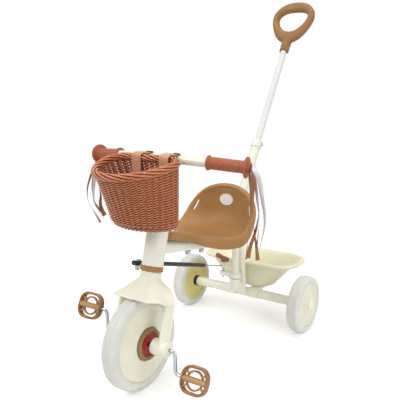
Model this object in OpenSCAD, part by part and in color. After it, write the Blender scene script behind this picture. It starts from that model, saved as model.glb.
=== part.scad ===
// Toddler push-along trike: steered front wheel with pedals, moulded seat, parent handle that steers,
// wicker basket and tipping rear bucket.
// Millimetres. The floor is z = 0, the rider faces -y and +x is the rider's left.

/* [Wheels] */
// Radius of the front wheel
front_r = 120; // [105:1:130]
// Width of the front tyre
front_w = 42; // [34:1:44]
// Rounding of the front tyre's edges
front_edge = 12; // [6:1:15]
// Depth of the front tyre from tread to rim
front_tyre_d = 23; // [18:1:30]
// Width of the front wheel's hub
front_hub_w = 44; // [40:1:50]
// Radius of the front wheel's raised hub face
front_hub_r = 46; // [44:1:56]
// Radius of a rear wheel
rear_r = 85; // [78:1:92]
// Width of a rear tyre
rear_w = 38; // [30:1:44]
// Rounding of the rear tyres' edges
rear_edge = 9; // [5:1:13]
// Depth of a rear tyre from tread to rim
rear_tyre_d = 19; // [15:1:24]
// Radius of a rear wheel's hub
rear_hub_r = 24; // [20:1:30]
// Distance between the front and rear axles
wheelbase = 510; // [500:1:540]
// Distance between the middles of the rear wheels
track = 410; // [400:1:440]
// Radius of the ring on the front hub
hub_ring_r = 40; // [36:1:43]
// Width of the ring on the front hub
hub_ring_w = 10; // [7:1:12]
// Radius of the clutch disc inside the hub ring
clutch_r = 30; // [24:1:32]
// Thickness of the clutch disc
clutch_t = 6; // [4:1:8]

/* [Frame] */
// Backward lean of the steering axis in degrees
steer_lean = 17; // [15:0.5:18]
// Distance along the steering axis from the front tyre to the collar
collar_up = 55; // [52:1:58]
// Radius of the head tube
head_r = 27; // [24:1:28]
// Length of the head tube
head_len = 94; // [86:1:96]
// Wall of the head tube
head_wall = 4; // [3:0.5:6]
// Length of a bush in the head tube
bush_len = 14; // [8:1:20]
// Radius of the main tube
main_r = 17.5; // [15:0.5:18]
// Wall of the main tube
main_wall = 2; // [1.5:0.1:3]
// Height of the main tube's middle line above the front tyre, over the axle
main_up = 113; // [110:1:116]
// Fall of the main tube towards the back in degrees
main_fall = 10; // [9:0.5:10.5]
// Distance of the down tube's top behind the post
down_back = 22; // [21:0.5:23]
// Distance of the down tube's foot in front of the rear axle
down_ahead = 13; // [12:0.5:18]
// Width of the down tube
down_w = 28; // [24:1:30]
// Depth of the down tube from front to back
down_d = 20; // [17:0.5:20.5]
// Radius of the rear axle tube
axle_tube_r = 14.5; // [13:0.5:16]
// Radius of the rear axle
axle_r = 6; // [5:0.5:7]
// Width of an axle bush
axle_bush_w = 10; // [7:1:14]
// Radius of an axle bush
axle_bush_r = 17; // [15:0.5:19]
// Radius of an axle cap
axle_cap_r = 14; // [11:1:17]
// Width of the rear bracket
bracket_w = 24; // [20:1:24]
// Height of the rear bracket
bracket_h = 16; // [14:1:20]
// Radius of the cup for the post's foot
cup_r = 17; // [15:1:19]
// Height of the cup for the post's foot above the bracket
cup_h = 20; // [16:1:24]
// Gap between the cup and the post's arm
cup_gap = 3; // [1:0.5:5]
// Radius of the pole bearing
bearing_r = 18; // [16:1:20]
// Height of the pole bearing
bearing_h = 44; // [38:1:48]

/* [Fork] */
// Radius of the fork's neck
neck_r = 26; // [24:1:28]
// Distance along the steering axis from the front tyre to the neck's lower end
neck_up = 30; // [27:1:35]
// Distance of a fork leg from the middle
leg_x = 70; // [68:1:78]
// Thickness of a fork leg
leg_t = 20; // [16:1:22]
// Depth of a fork leg from front to back
leg_d = 38; // [30:1:40]
// Radius of an axle housing
housing_r = 20; // [17:1:22]
// Distance of a housing's inner end from the middle
housing_in = 45; // [43:1:50]
// Distance of a housing's outer end from the middle
housing_out = 86; // [84:1:90]
// Half the width of the mudguard at its widest
guard_half_w = 84; // [80:1:88]
// Reach of the mudguard in front of the axle
guard_reach = 35; // [30:1:38]
// Depth of the mudguard behind the axle
guard_back = 72; // [66:1:76]
// Height of the mudguard's front edge above the front tyre
guard_up = 6; // [5.5:0.5:12]
// Thickness of the mudguard
guard_t = 4.5; // [3.5:0.1:5]
// Radius of the steering column
column_r = 11; // [10:0.5:12]
// Radius of the steering collar
collar_r = 29; // [28:0.5:30]
// Height of the steering collar
collar_h = 12; // [10:1:14]
// Distance of the link's pivot from the steering axis
arm_len = 45; // [44:0.5:47]
// Width of the steering arm
arm_w = 16; // [13:1:18]
// Thickness of the steering arm
arm_t = 5; // [4:0.5:6]

/* [Handlebar] */
// Radius of the handlebar tube
bar_r = 11; // [10:0.5:12]
// Wall of the handlebar tube, the column and the poles
bar_wall = 1.8; // [1.2:0.1:2.2]
// Distance of the bar up the steering axis from the front tyre
bar_up = 328.5; // [324:0.5:336]
// Distance of the bar in front of the steering axis
bar_fwd = 30.5; // [30:0.5:34]
// Half the length of the bar's straight middle
bar_half = 122; // [116:1:128]
// Radius of the bar's bends
bar_bend_r = 40; // [34:1:60]
// Backward sweep of the grips in degrees
grip_sweep = 13.8; // [10:0.2:17]
// Length of a grip
grip_len = 104; // [96:1:112]
// Radius of a grip's body
grip_r = 14.5; // [13:0.5:16]
// Radius of a grip's inner flange
grip_flange_r = 18; // [16.5:0.5:21]
// Radius of a grip's end flange
grip_end_r = 25; // [22:0.5:27]
// Thickness of the flanges on a grip
flange_t = 6; // [4:0.5:8]
// Half the width of the bar clamp
clamp_half_w = 14; // [11:0.5:14.5]
// Wall of the bar clamp
clamp_wall = 5; // [4:0.5:6]

/* [Basket] */
// Sideways place of the basket's middle
basket_x = -11; // [-14:1:-9]
// Distance of the rim's back in front of the handlebar's middle
rim_back_y = 30; // [29:1:34]
// Height of the rim at the back above the front tyre
rim_z = 322; // [316:1:326]
// Half the width of the rim
rim_half_w = 101; // [92:1:106]
// Depth of the rim from back to front
rim_d = 150; // [140:1:160]
// Radius of the rim's back corners
rim_corner = 36; // [30:1:42]
// Forward fall of the rim in degrees
rim_fall = 10.2; // [7:0.2:12]
// Radius of the rolled rim
rim_r = 10; // [8:0.5:11]
// Height of the basket's floor above the front tyre
basket_z = 163; // [162:1:168]
// Half the width of the basket's floor
floor_half_w = 88; // [82:1:94]
// Sideways shift of the basket's floor, as it hangs a little askew
floor_shift = 7; // [0:1:8]
// Depth of the basket's floor from back to front
floor_d = 94; // [88:1:104]
// Wall of the basket
basket_wall = 6; // [5:0.5:8]
// Depth of the basket's weave to each side of its wall's face
weave_d = 1.6; // [1:0.1:2]
// Rounding of the basket's lower edge
basket_edge = 16; // [10:1:20]
// Width of a strap
strap_w = 28; // [24:1:29]
// Thickness of a strap
strap_t = 2.4; // [2:0.1:3]
// Distance of a strap from the middle of the two
strap_x = 41; // [38:0.5:41]
// Sideways shift of the straps from the basket's middle
strap_shift = 10; // [0:1:10]
// Length of a strap inside the basket
strap_drop = 62; // [40:1:80]

/* [Seat] */
// Distance of the seat's nose behind the front axle
seat_y = 92; // [90:1:94]
// Length of the seat from its nose to its back
seat_len = 310; // [300:1:316]
// Width of the seat
seat_w = 224; // [210:1:236]
// Height of the seat's pan above the front tyre
pan_z = 83; // [82:1:88]
// Height of the nose above the pan
nose_rise = 58; // [54:1:60]
// Height of the back above the pan
back_rise = 125; // [116:1:134]
// Lift of the pan's sides
side_lift = 20; // [14:1:24]
// Forward wrap of the back's sides
side_wrap = 36; // [28:1:42]
// Depth of the skirt round the seat
skirt_d = 33; // [28:1:36]
// Rounding of the seat's edge
seat_edge = 8; // [6:0.5:9]
// Wall of the seat
seat_wall = 4; // [3:0.2:5]
// Width of the blank oval plate on the seat's back
badge_w = 44; // [36:1:50]
// Height of the blank oval plate on the seat's back
badge_h = 34; // [28:1:38]
// Thickness of the blank oval plate
badge_t = 1.6; // [1.2:0.1:2]
// Radius of a seat bolt
seat_bolt_r = 4; // [3:0.5:5]
// Radius of a seat spacer
spacer_r = 9; // [7:0.5:10]
// Distance of the first seat bolt behind the front axle
bolt_front_y = 205; // [195:1:215]
// Distance of the second seat bolt behind the front axle
bolt_back_y = 269; // [262:1:276]

/* [Cranks and pedals] */
// Distance of a pedal's spindle from the axle
crank_len = 58; // [54:1:60]
// Radius of the crank rod
crank_r = 4.5; // [4:0.25:5]
// Radius of the crank's bends
crank_bend_r = 10; // [9:0.5:12]
// Distance of the crank's arm from the middle
crank_x = 106; // [104:1:110]
// Distance of a pedal's inner end from the middle
pedal_in = 124; // [121:1:130]
// Width of a pedal
pedal_w = 75; // [70:1:82]
// Depth of a pedal from front to back
pedal_d = 68; // [64:1:74]
// Thickness of a pedal
pedal_t = 16; // [15:0.5:20]
// Rounding of a pedal's corners
pedal_corner = 27; // [16:1:29]
// Width of a pedal's outer frame
pedal_frame = 6.5; // [5.5:0.5:7]
// Radius of the ring inside a pedal
pedal_ring_r = 24; // [21:0.5:25]
// Width of the bars inside a pedal
pedal_bar = 4; // [3:0.5:4.5]
// Tilt of the pedals at rest in degrees
pedal_tilt = 66; // [0:1:90]

/* [Push pole] */
// Distance of the post in front of the rear axle
post_ahead = 55; // [53:1:58]
// Radius of the post
post_r = 11; // [10:0.5:12]
// Height of the pole's bend above the lower pole's foot
bend_z = 45; // [40:1:60]
// Radius of the pole's bend
pole_bend_r = 60; // [50:1:80]
// Backward lean of the pole above its bend in degrees
pole_lean = 31.7; // [28:0.1:34]
// Length of the lower pole above its bend
lower_len = 247; // [236:1:260]
// Length of both poles above the bend
pole_len = 571; // [540:1:600]
// Wall of the lower pole
pole_wall = 2.7; // [2:0.1:3]
// Radius of the upper pole
upper_r = 10; // [9:0.5:10.5]
// Length of the upper pole inside the lower one
upper_sunk = 60; // [45:1:70]
// Height of the lower pole's foot above the pole bearing
lower_foot_z = 5.2; // [3.2:0.1:11.2]
// Wall of the collar on the lower pole
pole_collar_wall = 3; // [2.5:0.1:4]
// Height of the collar on the lower pole
pole_collar_h = 22; // [18:1:28]
// Radius of the push button
button_r = 4; // [3:0.25:5]
// Width of the push handle's loop
handle_w = 145; // [134:1:156]
// Height of the push handle above the pole's end
handle_h = 185; // [176:1:196]
// Thickness of the push handle from front to back
handle_t = 28; // [24:1:32]
// Radius of the push handle's neck
handle_neck_r = 15; // [13.5:0.5:17]

/* [Link] */
// Radius of the link's sleeve
link_r = 6; // [5:0.5:6.5]
// Length of the link's sleeve behind the pivot
sleeve_len = 308; // [290:1:320]
// Reach of the link's cap in front of the pivot
cap_reach = 18; // [16:1:24]
// Length of the link's cap
cap_len = 14; // [10:1:15]
// Radius of the thin rod
rod_r = 1.8; // [1.5:0.1:2.5]
// Radius of the eye on the rod's end
eye_r = 8; // [7:0.5:9]
// Height of the eye on the rod's end
eye_h = 16; // [14:1:18]
// Radius of the lock pin
pin_r = 3.5; // [3:0.25:4]
// Length of the lock pin below the eye
pin_reach = 34; // [32:1:36]
// Radius of the lock knob
knob_r = 7.5; // [6.5:0.5:9]
// Length of the lock knob
knob_len = 48; // [42:1:54]
// Shift of the lock knob's bar away from the post
knob_shift = 3.5; // [3:0.5:6]
// Turn of the lock knob about its pin in degrees
knob_turn = 10; // [0:1:20]
// Slant of the lock knob's bar in degrees
knob_slant = 10; // [0:1:14]
// Distance of the post's arm below the link's eye
post_arm_z = 13.9; // [11.9:0.1:15.9]
// Thickness of the post's arm
post_arm_t = 12; // [10:1:13]

/* [Bucket] */
// Height of the bucket's floor above the ground
bucket_z = 104; // [104:1:106]
// Height of the bucket's rim above the ground
bucket_rim_z = 189; // [180:1:200]
// Half the width of the bucket's floor
bucket_floor_half_w = 78; // [74:1:84]
// Half the width of the bucket under its rim
bucket_half_w = 150; // [144:1:154]
// Distance of the bucket's front behind the rear axle
bucket_front = 2; // [1:0.5:4]
// Depth of the bucket under its rim
bucket_d = 126; // [116:1:132]
// Depth of the bucket's floor
bucket_floor_d = 92; // [84:1:98]
// Rounding of the bucket's corners
bucket_corner = 44; // [38:1:44]
// Wall of the bucket
bucket_wall = 3; // [2.5:0.1:4]
// Width of the bucket's rolled rim
bucket_rim_w = 14; // [11:1:15]
// Depth of the bucket's rolled rim
bucket_rim_d = 9; // [7:0.5:12]
// Width of a bucket clip
clip_w = 33; // [26:1:36]
// Distance of a clip's middle from the middle
clip_x = 39; // [37:1:44]
// Wall of a bucket clip
clip_wall = 3.6; // [3:0.1:4]

/* [Fits] */
// Gap between pieces that are fixed together
fit = 0.1; // [0.05:0.05:0.2]
// Radial clearance of a running fit
run_fit = 0.06; // [0.03:0.01:0.1]
// Gap between pieces that move past each other
run_gap = 0.5; // [0.4:0.1:0.8]
// Clearance of the lock pin in the post's arm
pin_play = 1.5; // [1.4:0.1:2]

/* [Hidden] */
$fn = 48;

// Overrun of the cuts
over = 1;
// Steps in a quarter of a round edge
edge_steps = 6;

// Colours
cream = "#f1ecd2";
white = "#f3f3ee";
caramel = "#b9834a";
terracotta = "#a8552f";
steel = "#c8c8c8";
black = "#202020";

// Heights over the front wheel
tyre_top = 2 * front_r;
neck_base = front_r + neck_up;
collar_base = front_r + collar_up;
guard_rise = front_r + guard_up;
bar_base = front_r + bar_up;
main_top_z = tyre_top + main_up;
pan_height = tyre_top + pan_z;
basket_floor_z = tyre_top + basket_z;
rim_top_z = tyre_top + rim_z;
bar_y = bar_base * sin(steer_lean) - bar_fwd * cos(steer_lean);
bar_z = front_r + bar_base * cos(steer_lean) + bar_fwd * sin(steer_lean);
rim_y = bar_y - rim_back_y;

// Places along the trike
post_y = wheelbase - post_ahead;
lower_foot = main_z(post_y) + bearing_h / 2 + lower_foot_z;
pole_bend_z = lower_foot + bend_z;
link_up = collar_base + arm_t + run_gap + link_r;
link_len = post_y / cos(steer_lean) - link_up * tan(steer_lean);
eye_z = front_r + link_up * cos(steer_lean) - link_len * sin(steer_lean) + link_r;
arm_z = eye_z - eye_h / 2 - post_arm_z - post_arm_t;
handle_grip_share = 0.9;
handle_grip_half_share = 0.1;
pole_top_y = post_y + pole_len * sin(pole_lean);
rear_y = pole_top_y + handle_h * handle_grip_share * sin(pole_lean)
    + norm([handle_h * handle_grip_half_share * sin(pole_lean), handle_t / 2 * cos(pole_lean)]);
mid_y = (rear_y - front_r) / 2;
head_z = collar_base + collar_h + run_gap;
main_start_y = (main_top_z - front_r) * tan(steer_lean) / (1 + tan(main_fall) * tan(steer_lean));
bracket_z = arm_z - cup_gap - cup_h;
tube_half = track / 2 - rear_w / 2 - axle_bush_w;
wheel_out = track / 2 + rear_w / 2;
post_foot_z = bracket_z - bracket_h / 2 + fit;

function main_z(y) = main_top_z - y * tan(main_fall);
function mix(a, b, t) = a + (b - a) * t;
function unit(v) = v / norm(v);

function reversed(list) = [for (i = [len(list) - 1:-1:0]) list[i]];

// Points on a round edge
function arc(x, y, r, from, to, steps = edge_steps) =
    [for (i = [0:steps]) let (a = mix(from, to, i / steps)) [x + r * cos(a), y + r * sin(a)]];

// A smooth line through the rows of a table
function smooth(rows, t) =
    let (last = len(rows) - 1, i = min(floor(t), last - 1), f = t - i)
    let (a = rows[max(i - 1, 0)], b = rows[i], c = rows[i + 1], d = rows[min(i + 2, last)])
    (2 * b + (c - a) * f + (2 * a - 5 * b + 4 * c - d) * f * f + (3 * b - a - 3 * c + d) * f * f * f) / 2;

// The trike's own place, with its box centred on the origin
module place() {
    translate([0, -mid_y, 0]) children();
}

// The turning frame: z runs up the steering axis from the front axle
module steered() {
    place() translate([0, 0, front_r]) rotate([-steer_lean, 0, 0]) children();
}

// A frame whose z runs out along x
module sideways() {
    rotate([0, 90, 0]) children();
}

module rod(r, from, to) {
    translate([0, 0, from]) cylinder(h = to - from, r = r);
}

module tube(r, bore, from, to) {
    difference() {
        rod(r, from, to);
        rod(bore, from - over, to + over);
    }
}

// A closed form through a stack of rings, with flat ends
module loft(rings) {
    n = len(rings[0]);
    m = len(rings);
    polyhedron(
        points = [for (r = rings) each r],
        faces = concat(
            [[for (i = [0:n - 1]) i]],
            [[for (i = [n - 1:-1:0]) (m - 1) * n + i]],
            [for (j = [0:m - 2], i = [0:n - 1])
                let (k = (i + 1) % n)
                each [[j * n + i, (j + 1) * n + i, (j + 1) * n + k], [j * n + i, (j + 1) * n + k, j * n + k]]]
        )
    );
}

// A closed form through a loop of rings
module hoop(rings) {
    n = len(rings[0]);
    m = len(rings);
    polyhedron(
        points = [for (r = rings) each r],
        faces = [for (j = [0:m - 1], i = [0:n - 1])
            let (k = (i + 1) % n, l = (j + 1) % m)
            each [[j * n + i, l * n + i, l * n + k], [j * n + i, l * n + k, j * n + k]]]
    );
}

// A walled form between an upper and a lower grid of points
module walled(upper, lower) {
    m = len(upper);
    n = len(upper[0]);
    s = m * n;
    polyhedron(
        points = concat([for (r = upper) each r], [for (r = lower) each r]),
        faces = concat(
            [for (j = [0:m - 2], i = [0:n - 2]) let (a = j * n + i, d = a + n)
                each [[a, d, d + 1], [a, d + 1, a + 1],
                    [s + a, s + d + 1, s + d], [s + a, s + a + 1, s + d + 1]]],
            [for (i = [0:n - 2]) let (a = i, z = (m - 1) * n + i)
                each [[s + a, a, a + 1], [s + a, a + 1, s + a + 1],
                    [s + z, z + 1, z], [s + z, s + z + 1, z + 1]]],
            [for (j = [0:m - 2]) let (a = j * n, d = a + n, b = a + n - 1, e = d + n - 1)
                each [[s + d, d, a], [s + d, a, s + a], [s + b, b, e], [s + b, e, s + e]]]
        )
    );
}

// Frame

module head_tube() {
    color(cream) steered() tube(head_r, head_r - head_wall, head_z, head_z + head_len);
}

module head_bushes() {
    color(black) steered() for (z = [head_z, head_z + head_len - bush_len])
        tube(head_r - head_wall - fit, column_r + run_fit, z, z + bush_len);
}

// The main tube's line, with z along it
module on_main() {
    place() translate([0, main_start_y, main_z(main_start_y)]) rotate([-90 - main_fall, 0, 0]) children();
}
main_len = (post_y - main_start_y) / cos(main_fall);

module main_tube() {
    color(cream) difference() {
        on_main() tube(main_r, main_r - main_wall, 0, main_len);
        steered() rod(head_r + fit, 0, bar_base);
        place() translate([0, post_y, 0]) rod(bearing_r + fit, 0, main_top_z);
        place() for (y = [bolt_front_y, bolt_back_y])
            translate([0, y, 0]) rod(seat_bolt_r + fit, 0, main_top_z);
    }
}

module pole_bearing() {
    z = main_z(post_y);
    color(cream) place() translate([0, post_y, 0])
        tube(bearing_r, post_r + run_fit, z - bearing_h / 2, z + bearing_h / 2);
}

// The down tube's line, with z down along it from the middle of the bearing
down_top_y = post_y + down_back;
down_top_z = main_z(post_y);
down_run = norm([wheelbase - down_ahead - down_top_y, down_top_z - rear_r]);
down_angle = atan2(wheelbase - down_ahead - down_top_y, down_top_z - rear_r);
module on_down() {
    place() translate([0, down_top_y, down_top_z]) rotate([180 + down_angle, 0, 0]) children();
}

// The down tube's flat-oval outline, moved out
module down_outline(out) {
    round_rect(down_w + 2 * out, down_d + 2 * out, down_d / 2 + out - fit);
}

module down_tube() {
    color(cream) difference() {
        on_down() linear_extrude(down_run) down_outline(0);
        on_down() translate([0, 0, bearing_h]) linear_extrude(down_run) down_outline(-main_wall);
        place() translate([0, post_y, down_top_z - bearing_h / 2 - fit]) rod(bearing_r + fit, 0, bearing_h);
        rear_axis() rod(axle_tube_r + fit, -tube_half, tube_half);
    }
}

// The bracket ends inside the down tube
bracket_run = down_back + (down_top_z - bracket_z + bracket_h / 2) * tan(down_angle);
module rear_bracket() {
    color(cream) difference() {
        place() union() {
            translate([-bracket_w / 2, post_y, bracket_z - bracket_h])
                cube([bracket_w, bracket_run, bracket_h]);
            translate([0, post_y, 0]) rod(cup_r, bracket_z - bracket_h, bracket_z + cup_h);
        }
        on_down() linear_extrude(down_run) down_outline(fit);
        rear_axis() rod(axle_tube_r + fit, -tube_half, tube_half);
        place() translate([0, post_y, 0])
            rod(post_r + run_fit, bracket_z - bracket_h / 2, bracket_z + cup_h + over);
    }
}

// The rear axle's line, with z along x
module rear_axis() {
    place() translate([0, wheelbase, rear_r]) sideways() children();
}

module axle_tube() {
    color(cream) rear_axis() tube(axle_tube_r, axle_tube_r - main_wall, -tube_half, tube_half);
}

axle_sunk = axle_r;
module rear_axle() {
    color(steel) rear_axis() rod(axle_r, -wheel_out - axle_sunk, wheel_out + axle_sunk);
}

module axle_bushes() {
    inner = tube_half - 2 * axle_bush_w;
    outer = tube_half + axle_bush_w - run_gap;
    color(black) rear_axis() for (s = [0, 1]) mirror([0, 0, s]) difference() {
        union() {
            rod(axle_bush_r, tube_half + fit, outer);
            rod(axle_tube_r - main_wall - fit, inner, outer);
        }
        rod(axle_r + fit, inner - over, outer + over);
    }
}

module axle_caps() {
    inner = wheel_out + run_gap;
    depth = axle_sunk + fit;
    color(white) rear_axis() for (s = [0, 1]) mirror([0, 0, s]) difference() {
        union() {
            rod(axle_cap_r, inner, inner + depth);
            translate([0, 0, inner + depth])
                cylinder(h = axle_r / 2, r1 = axle_cap_r, r2 = axle_cap_r - axle_r / 2);
        }
        rod(axle_r + fit, inner - over, wheel_out + axle_sunk + fit);
    }
}

// Seat
// Each row: share of the length, of the nose's rise, of the back's rise, of the half width,
// of the sides' lift, of the sides' wrap and of the skirt
seat_shares = [
    [0.00, 1.00, 0.00, 0.21, 0.0, 0.00, 0.62],
    [0.17, 0.73, 0.00, 0.22, 0.0, 0.00, 0.62],
    [0.32, 0.47, 0.00, 0.29, 0.0, 0.00, 0.70],
    [0.45, 0.25, 0.00, 0.47, 0.0, 0.00, 0.85],
    [0.57, 0.11, 0.00, 0.75, 0.1, 0.00, 1.00],
    [0.70, 0.03, 0.00, 0.95, 0.4, 0.00, 1.00],
    [0.83, 0.00, 0.00, 1.00, 0.8, 0.10, 0.90],
    [0.92, 0.00, 0.05, 1.00, 1.0, 0.45, 0.70],
    [0.97, 0.00, 0.17, 0.99, 0.7, 0.85, 0.45],
    [0.99, 0.00, 0.34, 0.97, 0.3, 0.90, 0.35],
    [1.00, 0.00, 0.53, 0.91, 0.1, 0.70, 0.35],
    [1.00, 0.00, 0.72, 0.80, 0.0, 0.45, 0.35],
    [1.00, 0.00, 0.88, 0.62, 0.0, 0.25, 0.35],
    [1.00, 0.00, 0.97, 0.40, 0.0, 0.10, 0.35],
    [0.99, 0.00, 1.00, 0.12, 0.0, 0.00, 0.35]
];
seat_rows = 2 * (len(seat_shares) - 1);
seat_half_cols = 6;
// Shares of the edge's rounding: out from the side, and down from the edge
edge_shares = [[0.70, 0.20], [1.00, 0.70], [1.00, 1.20]];

function seat_line(t) = let (r = smooth(seat_shares, t))
    [seat_y + r[0] * seat_len, pan_height + r[1] * nose_rise + r[2] * back_rise];
function seat_up(t) = let (d = seat_line(min(t + 0.2, len(seat_shares) - 1)) - seat_line(max(t - 0.2, 0)))
    unit([-d[1], d[0]]);
function seat_point(t, v) =
    let (r = smooth(seat_shares, t), c = seat_line(t), w = r[3] * seat_w / 2, q = v * v)
    [v * w, c[0] - r[5] * side_wrap * q, c[1] + r[4] * side_lift * q * abs(v)];
function seat_skirt(t, side, out, down) =
    let (p = seat_point(t, side), u = seat_up(t))
    [p[0] + side * out, p[1] - u[0] * down, p[2] - u[1] * down];
function seat_row(t) = let (skirt = smooth(seat_shares, t)[6] * skirt_d) concat(
    [seat_skirt(t, -1, seat_edge, skirt)],
    [for (e = [2:-1:0]) seat_skirt(t, -1, edge_shares[e][0] * seat_edge, edge_shares[e][1] * seat_edge)],
    [for (i = [-seat_half_cols:seat_half_cols]) seat_point(t, i / seat_half_cols)],
    [for (e = [0:2]) seat_skirt(t, 1, edge_shares[e][0] * seat_edge, edge_shares[e][1] * seat_edge)],
    [seat_skirt(t, 1, seat_edge, skirt)]
);
seat_grid = [for (j = [0:seat_rows]) seat_row(j / 2)];
function grid_normal(g, j, i) =
    let (m = len(g) - 1, n = len(g[0]) - 1)
    unit(cross(g[j][min(i + 1, n)] - g[j][max(i - 1, 0)], g[min(j + 1, m)][i] - g[max(j - 1, 0)][i]));
seat_under = [for (j = [0:seat_rows]) [for (i = [0:len(seat_grid[0]) - 1])
    seat_grid[j][i] - seat_wall * grid_normal(seat_grid, j, i)]];

module seat() {
    color(caramel) difference() {
        place() walled(seat_grid, seat_under);
        steered() rod(head_r + run_gap, collar_base, bar_base);
    }
}

// The oval plate stands a third of the way down the seat's back
badge_row = 10.6;
module seat_badge() {
    c = seat_line(badge_row);
    u = seat_up(badge_row);
    sag = side_wrap * pow(badge_w / seat_w, 2);
    color(white) place() translate([0, c[0] + u[0] * (sag + fit), c[1] + u[1] * (sag + fit)])
        rotate([-atan2(u[0], u[1]), 0, 0]) linear_extrude(badge_t)
            polygon([for (a = [0:12:348]) [badge_w / 2 * cos(a), badge_h / 2 * sin(a)]]);
}

// Height of the seat's underside over the main tube at a distance behind the front axle
under_line = [for (j = [0:seat_rows]) seat_under[j][seat_half_cols + len(edge_shares) + 1]];
function under_z(y) =
    let (near = [for (p = under_line) if (p[1] <= y) p], far = [for (p = under_line) if (p[1] > y) p])
    let (a = near[len(near) - 1], b = far[0]) mix(a[2], b[2], (y - a[1]) / (b[1] - a[1]));

module seat_spacers() {
    color(black) difference() {
        place() for (y = [bolt_front_y, bolt_back_y]) translate([0, y, 0])
            tube(spacer_r, seat_bolt_r + fit, main_z(y), under_z(y + spacer_r) - fit);
        on_main() rod(main_r + fit, 0, main_len);
    }
}

module seat_bolts() {
    color(steel) place() for (y = [bolt_front_y, bolt_back_y]) translate([0, y, 0]) {
        low = main_z(y) - main_r / cos(main_fall) - seat_bolt_r * sin(main_fall) * 2 - fit;
        rod(seat_bolt_r, low - seat_bolt_r, under_z(y + spacer_r) - 2 * fit);
        translate([0, 0, low - 2 * seat_bolt_r]) cylinder(h = 2 * seat_bolt_r, r = 2 * seat_bolt_r, $fn = 6);
    }
}

// Fork
// Each row: share of the leg's distance, of its depth and of the neck's height, and of the leg's size
leg_shares = [
    [1.00, 0.00, 0.00, 1.0],
    [1.00, 0.26, 0.22, 1.0],
    [1.00, 0.54, 0.48, 1.0],
    [0.97, 0.76, 0.68, 1.0],
    [0.86, 0.88, 0.78, 1.0],
    [0.64, 0.95, 0.84, 1.0],
    [0.40, 1.08, 0.95, 0.9]
];
fork_rise = neck_base * cos(steer_lean);

module leg_knot(r) {
    translate([r[0] * leg_x, r[1] * leg_d, front_r + r[2] * fork_rise])
        scale([leg_t / 2, leg_d / 2, leg_t / 2] * r[3]) sphere(1, $fn = 14);
}

// Each row: shares of the mudguard's half width, of its reach in front (or back) and of its height
guard_shares = [
    [0.00, -1.00, 0.985],
    [0.24, -1.02, 1.000],
    [0.43, -1.03, 1.012],
    [0.60, -0.97, 0.985],
    [0.72, -0.60, 0.965],
    [0.86, -0.15, 0.925],
    [0.96, 0.08, 0.870],
    [1.00, 0.30, 0.860],
    [0.95, 0.52, 0.900],
    [0.78, 0.74, 0.960],
    [0.46, 0.92, 1.020],
    [0.00, 1.00, 1.040]
];
guard_turns = 2 * (len(guard_shares) - 1);
guard_rows = 5;
flare_share = 0.3;

// A point of the mudguard's lower edge, counted from the front towards +x and round
function guard_edge(i) =
    let (last = guard_turns / 2, k = i > last ? guard_turns - i : i, s = i > last ? -1 : 1)
    let (r = guard_shares[k])
    [s * r[0] * guard_half_w, r[1] < 0 ? r[1] * guard_reach : r[1] * guard_back, front_r + r[2] * guard_rise];
// The neck's ring that the mudguard runs into, half its width inside the neck
function guard_neck(i) = let (a = 360 * i / guard_turns, r = neck_r - guard_t)
    let (x = r * sin(a), y = -r * cos(a), z = collar_base - collar_h)
    [x, y * cos(steer_lean) + z * sin(steer_lean), front_r - y * sin(steer_lean) + z * cos(steer_lean)];
function guard_point(i, t, drop) =
    mix(guard_neck(i), guard_edge(i), t) - [0, 0, drop + flare_share * guard_reach * t * (1 - t)];

module mudguard() {
    up = [for (j = [guard_rows:-1:0]) [for (i = [0:guard_turns - 1]) guard_point(i, j / guard_rows, 0)]];
    down = [for (j = [0:guard_rows]) [for (i = [0:guard_turns - 1]) guard_point(i, j / guard_rows, guard_t)]];
    hoop(concat(up, down));
}

module fork() {
    color(cream) difference() {
        union() {
            place() mudguard();
            place() for (s = [0, 1]) mirror([s, 0, 0]) for (i = [0:len(leg_shares) - 2]) hull() {
                leg_knot(leg_shares[i]);
                leg_knot(leg_shares[i + 1]);
            }
            steered() rod(neck_r, neck_base, collar_base - fit);
            steered() hull() {
                rod(neck_r, neck_base, neck_base + guard_t);
                translate([0, 0, neck_base - collar_h / 2])
                    cylinder(h = guard_t, r = neck_r * flare_share * 2);
            }
        }
        place() translate([0, 0, front_r]) sideways() rod(housing_r + fit, -leg_x - leg_d, leg_x + leg_d);
        steered() rod(column_r + fit, neck_base - 2 * collar_h, collar_base + over);
        steered() translate([0, 0, pin_up]) sideways()
            rod(column_pin_r + fit, -column_pin_half - fit, column_pin_half + fit);
    }
}

module axle_housings() {
    round_off = housing_r - crank_r - fit;
    color(cream) front_axis() for (s = [0, 1]) mirror([0, 0, s]) difference() {
        union() {
            rod(housing_r, housing_in, housing_out);
            translate([0, 0, housing_out])
                cylinder(h = pole_wall, r1 = housing_r, r2 = housing_r - round_off / 2);
        }
        rod(crank_r + run_fit, housing_in - over, housing_out + pole_wall + over);
    }
}

column_pin_r = 3;
pin_up_share = 0.35;
pin_up = mix(neck_base, collar_base, pin_up_share);
column_pin_half = neck_r - guard_t;
module column_pin() {
    color(steel) steered() translate([0, 0, pin_up]) sideways()
        rod(column_pin_r, -column_pin_half, column_pin_half);
}

module steering_column() {
    color(steel) steered() difference() {
        tube(column_r, column_r - bar_wall, neck_base, bar_base + clamp_half_w);
        translate([0, 0, pin_up]) sideways() rod(column_pin_r + fit, -head_r, head_r);
    }
}

// The link lies square to the steering axis, on the arm, on the rider's right
pivot_r = 3;

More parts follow.
